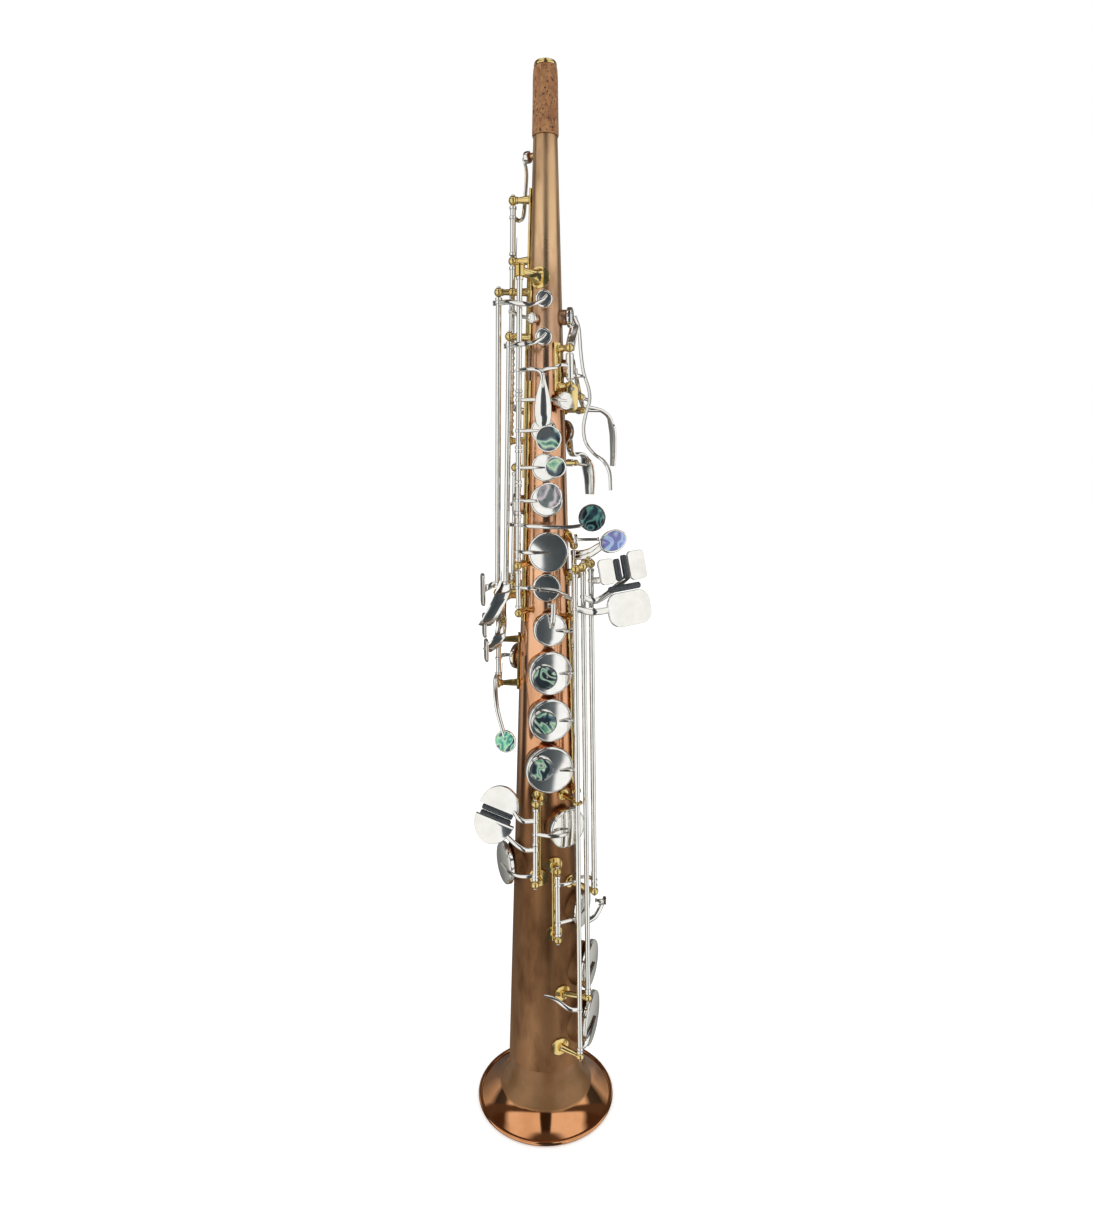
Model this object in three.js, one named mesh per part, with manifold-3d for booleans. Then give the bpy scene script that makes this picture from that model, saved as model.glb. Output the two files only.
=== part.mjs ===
// A straight one-piece soprano saxophone, standing on its bell. Millimetres, +Z up.
// The bore's axis is the Z axis, the bell's rim rests on Z = 0, and -Y is the front, where the
// stack keys lie. The player's left hand is on the +X side, the right hand on the -X side.
import * as THREE from "three";
import { mergeVertices } from "three/addons/utils/BufferGeometryUtils.js";
import Module from "manifold-3d";

const wasm = await Module();
wasm.setup();

// Driving dimensions of the body
const bodyLength = 650;
const tipRadius = 5.64; // where the cone would end at the mouthpiece end
const taper = 0.0314; // growth of the radius per millimetre down the cone
const wall = 1.1;
const flareHeight = 36; // the bell's flare, below the straight cone
const bellRadius = 46.8;
const corkLength = 32;
const corkFoot = 612.5; // height of the cork's lower edge

// Driving dimensions of the keywork
const chimney = 2.5; // height of a tone hole's top above the tube
const padGap = 0.3; // space under the pad of a shut key
const cupDepth = 4.4; // pad face to the crown of the cup
const openLift = 2.6; // how far an open key stands off its tone hole
const rodRadius = 1.6;
const ballRadius = 2.6;
const pearlRadius = 7.5;
const slack = 0.35; // between neighbouring pieces
const bodySides = 20;
const cupSides = 10;

const degree = Math.PI / 180;
const point = (x, y, z) => new THREE.Vector3(x, y, z);
const up = point(0, 0, 1);
const tubeRadius = (z) => tipRadius + taper * (bodyLength - z);
const outward = (azimuth) => point(Math.cos(azimuth * degree), Math.sin(azimuth * degree), 0);
const around = (azimuth) => outward(azimuth + 90);
// A point at a height above the tube's surface
const at = (z, azimuth, height) =>
  outward(azimuth).multiplyScalar(tubeRadius(z) + height).setZ(z);
// A point on a rod, at the height z
const onRod = (rod, z) => rod[0].clone().lerp(rod[1], (z - rod[0].z) / (rod[1].z - rod[0].z));
const azimuthOf = (p) => Math.atan2(p.y, p.x) / degree;

// Solids

function solid(geometry) {
  const bare = geometry.index ? geometry.toNonIndexed() : geometry.clone();
  bare.deleteAttribute("normal");
  bare.deleteAttribute("uv");
  const merged = mergeVertices(bare, 1e-4);
  const index = merged.index.array;
  const triangles = [];
  for (let i = 0; i < index.length; i += 3) {
    const [a, b, c] = [index[i], index[i + 1], index[i + 2]];
    if (a !== b && b !== c && c !== a) triangles.push(a, b, c);
  }
  const build = (list) =>
    new wasm.Manifold(
      new wasm.Mesh({
        numProp: 3,
        vertProperties: merged.attributes.position.array,
        triVerts: new Uint32Array(list),
      }),
    );
  const made = build(triangles);
  return made.volume() > 0 ? made : build(triangles.reverse());
}

const join = (solids) => solids.reduce((sum, next) => sum.add(next));

// A profile of [radius, height] pairs spun about a direction through a base point
function turned(profile, base, direction, sides) {
  const geometry = new THREE.LatheGeometry(
    profile.map(([r, h]) => new THREE.Vector2(Math.max(r, 0), h)),
    sides,
  );
  geometry.applyQuaternion(new THREE.Quaternion().setFromUnitVectors(point(0, 1, 0), direction));
  return solid(geometry.translate(base.x, base.y, base.z));
}

function rodBetween(a, b, radius, sides = 6, endRadius = radius) {
  const length = a.distanceTo(b);
  const direction = b.clone().sub(a).normalize();
  return turned([[0, 0], [radius, 0], [endRadius, length], [0, length]], a, direction, sides);
}

function ball(centre, radius = ballRadius) {
  const geometry = new THREE.SphereGeometry(radius, 6, 4);
  return solid(geometry.translate(centre.x, centre.y, centre.z));
}

// A bar swept through points. In a level curve, width runs along Z; in an upright one, across it.
function bar(points, width, thickness, steps = points.length + 1) {
  const [w, t] = [width / 2, thickness / 2];
  const corners = [[-w, -t], [w, -t], [w, t], [-w, t]];
  const section = new THREE.Shape(corners.map(([x, y]) => new THREE.Vector2(x, y)));
  const path = new THREE.CatmullRomCurve3(points, false, "centripetal");
  return solid(
    new THREE.ExtrudeGeometry(section, { steps, extrudePath: path, bevelEnabled: false }),
  );
}

// A flat plate: an outline in the plane of two directions, thickened to both sides
function plate(outline, thickness, centre, across, along) {
  const geometry = new THREE.ExtrudeGeometry(outline, {
    depth: thickness,
    bevelEnabled: false,
    curveSegments: 4,
  }).translate(0, 0, -thickness / 2);
  const face = across.clone().cross(along).normalize();
  const basis = new THREE.Matrix4().makeBasis(across.clone().normalize(), along.clone().normalize(), face);
  geometry.applyMatrix4(basis);
  return solid(geometry.translate(centre.x, centre.y, centre.z));
}

function ellipse(radiusX, radiusY) {
  return new THREE.Shape().absellipse(0, 0, radiusX, radiusY, 0, 2 * Math.PI);
}

// A band that lies on the tube, over a stretch of height and of azimuth
function band(low, high, from, to, thickness = 1) {
  const inner = tubeRadius(low) + slack;
  const shape = new THREE.Shape();
  shape.absarc(0, 0, inner + thickness, from * degree, to * degree, false);
  shape.absarc(0, 0, inner, to * degree, from * degree, true);
  const depth = high - low;
  const geometry = new THREE.ExtrudeGeometry(shape, { depth, bevelEnabled: false, curveSegments: 3 });
  return solid(geometry.translate(0, 0, low));
}

// A strip along the tube, tangent to it
function strip(low, high, azimuth, width) {
  const a = at(low, azimuth, slack + 0.5);
  const b = at(high, azimuth, slack + 0.5);
  const along = b.clone().sub(a);
  const outline = new THREE.Shape([
    new THREE.Vector2(-width / 2, -along.length() / 2),
    new THREE.Vector2(width / 2, -along.length() / 2),
    new THREE.Vector2(width / 2, along.length() / 2),
    new THREE.Vector2(-width / 2, along.length() / 2),
  ]);
  return plate(outline, 1, a.add(b).multiplyScalar(0.5), around(azimuth), along);
}

// A post: a ball on a tapered stem, whose foot stands on the tube
function post(top, footHeight = top.z, footAzimuth = azimuthOf(top)) {
  const lean = top.clone().sub(at(footHeight, footAzimuth, 1)).normalize();
  const tilt = Math.sqrt(Math.max(0, 1 - lean.dot(outward(footAzimuth)) ** 2));
  const foot = at(footHeight, footAzimuth, slack + 0.3 + 2.1 * tilt);
  return join([ball(top), rodBetween(foot, top, 2.1, 6, 1.5)]);
}

// The round foot that a lone post stands on
function foot(z, azimuth, radius = 4.2) {
  const spread = radius / tubeRadius(z) / degree;
  return band(z - radius, z + radius, azimuth - spread, azimuth + spread);
}

// The scene: each piece is one named mesh with its own material

const finishes = {
  bronze: { color: 0xa9714b, roughness: 0.25, metalness: 1 },
  brass: { color: 0xd9b45a, roughness: 0.18, metalness: 1 },
  silver: { color: 0xe4e4e2, roughness: 0.12, metalness: 1 },
  cork: { color: 0xa8794e, roughness: 0.85, metalness: 0 },
  ebonite: { color: 0x2b2e30, roughness: 0.35, metalness: 0 },
};
const saxophone = new THREE.Group();
saxophone.name = "soprano_saxophone";

function add(name, finish, parts, motion) {
  const made = join(parts).getMesh();
  const geometry = new THREE.BufferGeometry();
  geometry.setAttribute("position", new THREE.BufferAttribute(made.vertProperties, 3));
  geometry.setIndex(new THREE.BufferAttribute(made.triVerts, 1));
  geometry.computeVertexNormals();
  const mesh = new THREE.Mesh(geometry, new THREE.MeshStandardMaterial(finishes[finish]));
  mesh.name = name;
  mesh.userData = { finish, ...motion };
  saxophone.add(mesh);
}

// Tone holes and the cups over them: height, azimuth and cup radius. Some keys stand open.

const tones = {
  octaveHigh: { z: 604, azimuth: 150, radius: 3.2 },
  octaveLow: { z: 514, azimuth: -122, radius: 3.2 },
  highE: { z: 524, azimuth: -93, radius: 4.2 },
  palmF: { z: 516, azimuth: -9, radius: 5.6 },
  sideC: { z: 503.5, azimuth: -94, radius: 4.4 },
  palmEFlat: { z: 488, azimuth: 15, radius: 6.4 },
  cVent: { z: 468, azimuth: -48, radius: 5.2, open: true },
  b: { z: 451.3, azimuth: -93, radius: 7.4, open: true },
  palmD: { z: 451.6, azimuth: 46, radius: 7.2 },
  bis: { z: 430.5, azimuth: -89, radius: 8.1, open: true },
  a: { z: 411.5, azimuth: -87, radius: 9.5, open: true },
  sideBFlat: { z: 408, azimuth: 180, radius: 7.2 },
  g: { z: 381.5, azimuth: -84, radius: 11.9, open: true },
  gSharp: { z: 360.2, azimuth: -88, radius: 8.4 },
  fSharp: { z: 335.4, azimuth: -85, radius: 10.2, open: true },
  altFSharp: { z: 311, azimuth: 148, radius: 8.4 },
  f: { z: 308.7, azimuth: -84.5, radius: 13.4, open: true },
  e: { z: 279.5, azimuth: -85, radius: 13.5, open: true },
  d: { z: 248.2, azimuth: -86, radius: 15, open: true },
  eFlat: { z: 207.5, azimuth: -56, radius: 13 },
  c: { z: 178, azimuth: -163, radius: 13.6, open: true },
  cSharp: { z: 147, azimuth: -22, radius: 12.6 },
  lowB: { z: 103, azimuth: -12, radius: 15.4, open: true },
  lowBFlat: { z: 63, azimuth: -12, radius: 17.4, open: true },
};
const crownHeight = chimney + padGap + cupDepth;
const crownPoint = (tone, raised = 0) => at(tone.z, tone.azimuth, crownHeight + raised);

// A key cup in its shut place
function cup(tone) {
  const r = tone.radius;
  const profile = [
    [0, 0],
    [r, 0],
    [r, cupDepth - 1.4],
    [r * 0.8, cupDepth - 0.2],
    [0, cupDepth],
  ];
  const base = at(tone.z, tone.azimuth, chimney + padGap);
  return turned(profile, base, outward(tone.azimuth), cupSides);
}

// An arm from a rod to the middle of a cup: past the cup's edge, then across its crown
function cupArm(rod, tone, rodHeight = tone.z, width = 2.6) {
  const start = onRod(rod, rodHeight);
  const across = around(tone.azimuth);
  const side = Math.sign(start.clone().sub(crownPoint(tone)).dot(across));
  const edge = crownPoint(tone, 0.5).addScaledVector(across, side * tone.radius * 0.95);
  edge.z += (start.z - tone.z) * 0.6;
  const end = crownPoint(tone, 0.3).addScaledVector(across, -side * 2);
  return bar([start, edge, end], width, 2, 5);
}

// A round touch
function pearl(centre, radius = pearlRadius, face = point(0, -1, 0)) {
  const profile = [[0, -1.2], [radius, -1.2], [radius, 1], [0, 1.7]];
  return turned(profile, centre, face, cupSides);
}

// Keys. Each turns about its rod; positive turns are right-handed about the rod, upwards.

const poses = {}; // how far each open key stands turned from its shut place

function tubeOn(rod, low, high) {
  return rodBetween(onRod(rod, low), onRod(rod, high), rodRadius);
}

function addLever(name, rod, low, high, turn, parts) {
  const axis = rod[1].clone().sub(rod[0]).normalize();
  const origin = onRod(rod, (low + high) / 2);
  add(name, "silver", [tubeOn(rod, low, high), ...parts], {
    hinge: { origin: origin.toArray(), axis: axis.toArray(), turn },
  });
}

// The degrees that move a cup's middle outwards by a given distance
function turnFor(rod, tone, distance) {
  const axis = rod[1].clone().sub(rod[0]).normalize();
  const swing = axis.cross(crownPoint(tone).sub(onRod(rod, tone.z))).dot(outward(tone.azimuth));
  return (Math.sign(swing) * Math.asin(distance / Math.abs(swing))) / degree;
}

function turnedAbout(made, rod, degrees) {
  const axis = rod[1].clone().sub(rod[0]).normalize();
  const matrix = new THREE.Matrix4()
    .makeTranslation(rod[0])
    .multiply(new THREE.Matrix4().makeRotationAxis(axis, degrees * degree))
    .multiply(new THREE.Matrix4().makeTranslation(rod[0].clone().negate()));
  return made.transform(matrix.elements);
}

// `shut` parts are placed as they lie on a shut key, and `resting` parts as they lie at rest.
function addKey(name, rod, low, high, tone, lift, shut, resting = []) {
  const rest = tone.open ? turnFor(rod, tone, openLift) : 0;
  const raised = turnedAbout(join([cup(tone), ...shut]), rod, rest);
  const turn = tone.open ? -rest : turnFor(rod, tone, lift);
  addLever(name, rod, low, high, turn, [raised, ...resting]);
}

// The body

function addBody() {
  const bore = (z) => tubeRadius(z) - wall;
  const tenon = (z) => tubeRadius(z) - 0.2;
  const tube = turned(
    [
      [0, flareHeight],
      [tubeRadius(flareHeight), flareHeight],
      [tubeRadius(corkFoot - 0.3), corkFoot - 0.3],
      [tenon(corkFoot), corkFoot - 0.3],
      [tenon(bodyLength), bodyLength],
      [0, bodyLength],
    ],
    point(0, 0, 0),
    up,
    bodySides,
  );
  const [low, high] = [flareHeight - 1, bodyLength + 1];
  const core = rodBetween(point(0, 0, low), point(0, 0, high), bore(low), bodySides, bore(high));
  const walls = [tube];
  const holes = [core];
  for (const tone of Object.values(tones)) {
    const outer = tone.radius - 1.3;
    const start = outward(tone.azimuth).multiplyScalar(outer * 0.3).setZ(tone.z);
    const tip = at(tone.z, tone.azimuth, chimney);
    walls.push(rodBetween(start, tip, outer, 10));
    holes.push(rodBetween(start, tip.clone().addScaledVector(outward(tone.azimuth), 1), outer - 0.9, 10));
  }
  add("body_tube", "bronze", [join(walls).subtract(join(holes))]);

  // The flare opens as a power of the way down from the cone to the rim.
  const rimSeat = bellRadius - 2;
  const neck = tubeRadius(flareHeight);
  const outside = [];
  const inside = [];
  for (const t of [0, 0.3, 0.5, 0.66, 0.8, 0.91, 1]) {
    const radius = neck + (rimSeat - neck) * t ** 3.2;
    const z = (flareHeight - 0.3) * (1 - t) + 2 * t;
    outside.push([radius, z]);
    inside.unshift([radius - wall, z - 0.8 * t]);
  }
  const bell = turned([...outside, ...inside, outside[0]], point(0, 0, 0), up, 28);
  const mid = bellRadius - 1.5;
  const rim = turned(
    [
      [mid - 0.9, 0],
      [mid + 0.9, 0],
      [mid + 1.5, 1.2],
      [mid + 0.8, 2.8],
      [mid - 0.8, 2.8],
      [mid - 1.5, 1.2],
      [mid - 0.9, 0],
    ],
    point(0, 0, 0),
    up,
    28,
  );
  add("bell", "bronze", [bell, rim]);

  const seat = (z) => tenon(z) + slack;
  const corkTop = corkFoot + corkLength;
  const cork = [
    [seat(corkFoot), corkFoot],
    [7.5, corkFoot],
    [6.9, corkTop - 3],
    [6.4, corkTop],
    [seat(corkTop), corkTop],
    [seat(corkFoot), corkFoot],
  ];
  add("mouthpiece_cork", "cork", [turned(cork, point(0, 0, 0), up, 18)]);
  const ringFoot = corkTop + 0.3;
  const ring = [
    [seat(ringFoot), ringFoot],
    [6.4, ringFoot],
    [6.4, ringFoot + 3.2],
    [seat(bodyLength) + 0.3, bodyLength],
    [seat(bodyLength), bodyLength],
    [seat(ringFoot), ringFoot],
  ];
  add("neck_ring", "brass", [turned(ring, point(0, 0, 0), up, 18)]);
}

// Rods, as the centres of the balls at their two ends, the lower one first

const rods = {
  octaveHigh: [at(547.6, 172, 10.2), at(580.2, 172, 10.8)],
  octaveLow: [at(446, 172, 9.4), at(547.6, 172, 10.2)],
  upperStack: [point(-16.4, -17.8, 373.2), point(-14.4, -14.2, 539)],
  gSharp: [point(-16, -18.4, 344.6), point(-16.4, -17.8, 373.2)],
  highE: [point(-29.2, -7, 355.2), point(-26.8, -4, 529.4)],
  sideC: [point(-24, -12.4, 353.6), point(-20.6, -9.6, 504.4)],
  sideBFlat: [at(357, 144, 10.6), at(430, 144, 10.6)],
  altFSharp: [point(-29.6, -3, 297), point(-29.2, -2.8, 325)],
  lowerStack: [at(231, -41, 7.2), at(340.5, -41, 7.6)],
  gSharpLever: [at(340.5, -41, 7.6), at(385, -41, 8.4)],
  rocker: [at(477, -40, 7.6), at(498, -40, 7.6)],
  lowBFlat: [point(22.6, -26.4, 49.6), point(17.2, -29.6, 373)],
  lowB: [point(27.6, -24.4, 91.4), point(21.8, -26.2, 374)],
  cSharpLever: [point(31, -22, 165.4), point(26.6, -22.6, 375)],
  cSharp: [at(135.6, -75, 8.4), at(182.2, -75, 8.4)],
  pinky: [at(174, -102.5, 9.6), at(227, -102.5, 9.6)],
};
const beside = ballRadius + slack; // from a ball's centre to the end of the hinge tube
const clear = (rod) => [rod[0].z + beside, rod[1].z - beside];

function addPosts() {
  const [octaveTop, octaveMid, octaveFoot] = [rods.octaveHigh[1], rods.octaveHigh[0], rods.octaveLow[0]];
  add("octave_rib", "brass", [
    strip(424, 586, 172, 4),
    post(octaveTop),
    post(octaveMid),
    post(octaveFoot),
  ]);
  const stackTop = rods.upperStack[1];
  add("stack_top_post", "brass", [
    ball(stackTop, 2.9),
    bar([stackTop, at(538, -112, 8.6), at(537, -99, 3.4), at(536.6, -97, 0.9)], 5, 4),
    foot(536.5, -97, 5),
  ]);
  add("upper_stack_rib", "brass", [
    strip(338, 480, -147, 4),
    post(rods.upperStack[0], 373.2, -147),
    post(rods.gSharp[0], 344.6, -147),
  ]);
  add("side_rib_upper", "brass", [
    strip(498, 535, -152, 4),
    post(rods.highE[1], 529.4, -155),
    post(rods.sideC[1], 504.4, -154),
  ]);
  add("side_rib_lower", "brass", [
    band(350, 360, 178, 198),
    post(rods.highE[0], 355.2, -170),
    post(rods.sideC[0], 353.6, -163),
  ]);
  add("side_bb_rib", "brass", [
    strip(353, 434, 144, 4),
    post(rods.sideBFlat[0]),
    post(rods.sideBFlat[1]),
  ]);
  add("alt_fsharp_rib", "brass", [
    strip(293, 329, -174, 4),
    post(rods.altFSharp[0]),
    post(rods.altFSharp[1]),
  ]);
  add("lower_stack_rib", "brass", [
    strip(226, 350, -24, 4),
    post(rods.lowerStack[0], 231, -25),
    post(rods.lowerStack[1], 340.5, -25),
  ]);
  add("gsharp_lever_post", "brass", [foot(390, -20, 3), post(rods.gSharpLever[1], 390, -20)]);
  add("rocker_posts", "brass", [
    strip(474, 501, -40, 3),
    post(rods.rocker[0]),
    post(rods.rocker[1]),
  ]);
  const [topBFlat, topB, topCSharp] = [rods.lowBFlat[1], rods.lowB[1], rods.cSharpLever[1]];
  add("table_bracket", "brass", [
    foot(364, -12, 5),
    rodBetween(at(364, -12, 0.8), at(365, -13, 5), 2.4),
    bar([at(364, -12, 2.6), at(368, -18, 9), at(377, -31, 13), topCSharp], 4, 4, 6),
    bar([topBFlat, topB, topCSharp], 3.4, 3, 3),
    ball(topBFlat),
    ball(topB),
    ball(topCSharp),
  ]);
  add("low_bb_post", "brass", [foot(54, -67, 4.4), post(rods.lowBFlat[0], 54, -67)]);
  add("low_b_post", "brass", [foot(92, -62, 4.2), post(rods.lowB[0], 92, -62)]);
  add("csharp_lever_post", "brass", [foot(168, -42, 4), post(rods.cSharpLever[0], 168, -42)]);
  add("low_csharp_posts", "brass", [
    strip(131, 187, -75, 4.4),
    foot(135.6, -75, 4.6),
    foot(182.2, -75, 4.6),
    post(rods.cSharp[0]),
    post(rods.cSharp[1]),
  ]);
  add("pinky_posts", "brass", [
    strip(170, 231, -102.5, 4.4),
    foot(174, -102.5, 4.8),
    foot(227, -102.5, 4.8),
    post(rods.pinky[0]),
    post(rods.pinky[1]),
  ]);
}

// Octave mechanism: a thumb lever on the back, and a vent key at each end

function addOctaveKeys() {
  const high = rods.octaveHigh;
  addKey("octave_vent_high", high, ...clear(high), tones.octaveHigh, 1.4, [
    bar(
      [onRod(high, 571), point(-14, 7, 572), point(-11.6, 8.2, 580), point(-10.8, 7, 592), crownPoint(tones.octaveHigh)],
      2.4, 1.8, 7,
    ),
  ]);
  const low = rods.octaveLow;
  const lowTone = tones.octaveLow;
  addKey("octave_vent_low", low, 503.4, low[1].z - beside, lowTone, 1.4, [
    bar([onRod(low, 520), at(517, -166, 6.4), at(515, -142, 5.4), crownPoint(lowTone)], 2.2, 1.6, 5),
  ]);
  const thumb = at(462, 112, 9);
  addLever("octave_thumb_lever", low, low[0].z + beside, 503, -6, [
    bar([onRod(low, 468), at(466, 152, 10.5), at(464, 130, 10), thumb], 4, 1.8),
    plate(ellipse(5.6, 8.4), 1.8, thumb, around(112), up),
  ]);
}

// Side keys, played by the side of the right hand: long rods up to small vents

function addSideKeys() {
  const across = point(0.25, -1, 0).normalize();
  const e = rods.highE;
  addKey("high_e_key", e, ...clear(e), tones.highE, 2, [
    bar([onRod(e, 524), point(-21.5, -13.2, 524), point(-11, -20.6, 523), crownPoint(tones.highE)], 2.6, 1.9),
    bar([onRod(e, 361), point(-34.6, -8.6, 359), point(-38.2, -7, 357)], 4, 1.8),
    plate(ellipse(4.4, 10), 1.8, point(-38.2, -7, 357), across, up),
  ]);
  const c = rods.sideC;
  addKey("side_c_key", c, ...clear(c), tones.sideC, 2, [
    bar([onRod(c, 499.6), point(-19.6, -15.6, 499.6), point(-10.5, -21.4, 501), crownPoint(tones.sideC)], 2.6, 1.9),
    bar([onRod(c, 362), point(-27, -17.6, 355), point(-34, -17.4, 343), point(-37, -12.4, 336)], 4, 1.8),
    plate(ellipse(4.4, 7.6), 1.8, point(-37.2, -10.6, 335.6), across, up),
  ]);
  const b = rods.sideBFlat;
  addKey("side_bb_key", b, ...clear(b), tones.sideBFlat, 2, [
    cupArm(b, tones.sideBFlat),
    bar([onRod(b, 363), point(-31.6, 10.6, 355), point(-36.6, 3, 338), point(-36.8, -4, 322)], 4, 1.8),
    plate(ellipse(4.4, 7.2), 1.8, point(-36.8, -4.4, 318.4), across, up),
  ]);
  const alt = rods.altFSharp;
  const button = point(-24.4, -22.4, 265.6);
  addKey("alt_fsharp_key", alt, ...clear(alt), tones.altFSharp, 2, [
    bar([onRod(alt, 313), point(-26.6, 5, 313), crownPoint(tones.altFSharp)], 2.8, 2),
    bar([onRod(alt, 303), point(-31, -9, 300), point(-30, -16.6, 286), point(-26, -21.6, 272), button], 3, 2),
    pearl(button, 7, point(-0.35, -0.93, 0.08).normalize()),
  ]);
}

// The upper stack, under the left hand

function stackKey(name, rod, low, high, tone, x, z, radius = pearlRadius, extra = []) {
  const height = crownPoint(tone, 3.4).y;
  const stem = crownPoint(tone, -0.8);
  stem.x = (stem.x + x) / 2;
  stem.z = (stem.z + z) / 2;
  const centre = point(x, height, z);
  const post = rodBetween(stem, centre, 2);
  addKey(name, rod, low, high, tone, 0, [cupArm(rod, tone), post, pearl(centre, radius), ...extra]);
}

function addUpperStack() {
  const rod = rods.upperStack;
  const leaf = new THREE.Shape();
  leaf.moveTo(0, 23);
  leaf.bezierCurveTo(1.6, 16, 5, 8, 4.8, -2);
  leaf.bezierCurveTo(4.4, -10, -4.4, -10, -4.8, -2);
  leaf.bezierCurveTo(-5, 8, -1.6, 16, 0, 23);
  addLever("front_f_key", rod, 472.6, rod[1].z - 2.9 - slack, 4, [
    bar([onRod(rod, 485), point(-9, -23.2, 485), point(-2.4, -24.4, 482), point(-1.6, -24.6, 476)], 3, 2),
    plate(leaf, 2, point(-1.4, -24.6, 461.6), point(1, 0, 0), up),
    bar([point(-3.4, -24.4, 482.6), point(2, -22.8, 485), point(6.4, -20.4, 486)], 2.4, 2),
  ]);
  const vent = tones.cVent;
  stackKey("b_key", rod, 441, 472.2, tones.b, 3.2, 446.6, pearlRadius, [
    cup(vent),
    bar([onRod(rod, 468.6), at(468.6, -103, 6.2), at(468.4, -70, 6.6), crownPoint(vent, -0.5)], 2.4, 1.8),
  ]);
  stackKey("bis_key", rod, 421.4, 440.6, tones.bis, 7.2, 430.8, 6);
  stackKey("a_key", rod, 403.4, 421, tones.a, 3.4, 414.6);
  const lever = point(26.6, -30, 402.4);
  const path = [point(-21, -16.6, 397.4), onRod(rod, 397.4), point(-9, -28, 397.4), point(8, -30.6, 397), lever];
  addKey("g_key", rod, rod[0].z + beside, 403, tones.g, 0, [cupArm(rod, tones.g)], [
    bar(path, 2.6, 2, 8),
    pearl(lever, 7.8),
  ]);
}

// The G sharp key and the lever that lifts it

function addGSharp() {
  const rod = rods.gSharp;
  addKey("gsharp_key", rod, ...clear(rod), tones.gSharp, 1.2, [
    bar([onRod(rod, 360.2), point(-8.8, -22.6, 360.2), point(6, -22.4, 358.6), point(13, -20.4, 356)], 2.4, 2, 5),
  ]);
  const lever = rods.gSharpLever;
  const touch = point(39.4, -24, 388.4);
  const face = point(0.34, -0.88, 0.33).normalize();
  const across = point(0.93, 0.36, 0).normalize();
  addLever("gsharp_lever", lever, ...clear(lever), 10, [
    bar([onRod(lever, 352), point(13, -16.6, 354), point(9.6, -18.4, 355.4)], 2.4, 1.8),
    bar([onRod(lever, 380), point(25, -20.6, 382), point(32, -23, 386), touch], 3.4, 2.2),
    plate(ellipse(8.4, 6.4), 2, touch, across, face.cross(across)),
  ]);
  const rocker = rods.rocker;
  addLever("front_f_rocker", rocker, ...clear(rocker), -5, [
    bar([onRod(rocker, 488), point(9.6, -16.2, 488), point(5.4, -16.2, 487)], 2.4, 2),
    bar([onRod(rocker, 482.4), point(18, -13, 482.4), point(21.4, -9.6, 482.4)], 2.4, 2),
  ]);
}

// The little-finger table of the left hand, and the long rods down to the lowest holes

const tableFace = point(0.3, -0.93, 0.2).normalize();
const tableAcross = point(0.93, 0.32, 0.12).normalize();
const tableUp = tableFace.clone().cross(tableAcross).normalize();
const tableCentre = point(45, -27, 366);
const onTable = (u, v, raised = 0) =>
  tableCentre
    .clone()
    .addScaledVector(tableAcross, u)
    .addScaledVector(tableUp, v)
    .addScaledVector(tableFace, raised);

function rounded(width, height, radius) {
  const [w, h] = [width / 2, height / 2];
  const shape = new THREE.Shape();
  shape.moveTo(-w + radius, -h);
  shape.lineTo(w - radius, -h);
  shape.quadraticCurveTo(w, -h, w, -h + radius);
  shape.lineTo(w, h - radius);
  shape.quadraticCurveTo(w, h, w - radius, h);
  shape.lineTo(-w + radius, h);
  shape.quadraticCurveTo(-w, h, -w, h - radius);
  shape.lineTo(-w, -h + radius);
  shape.quadraticCurveTo(-w, -h, -w + radius, -h);
  return shape;
}

function addRoller(name, parent, centre, along, length, radius = 1.9) {
  const half = along.clone().multiplyScalar(length / 2);
  const barrel = rodBetween(centre.clone().sub(half), centre.clone().add(half), radius, 10);
  add(name, "ebonite", [barrel], {
    spin: { origin: centre.toArray(), axis: along.toArray(), parent },
  });
}

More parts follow.
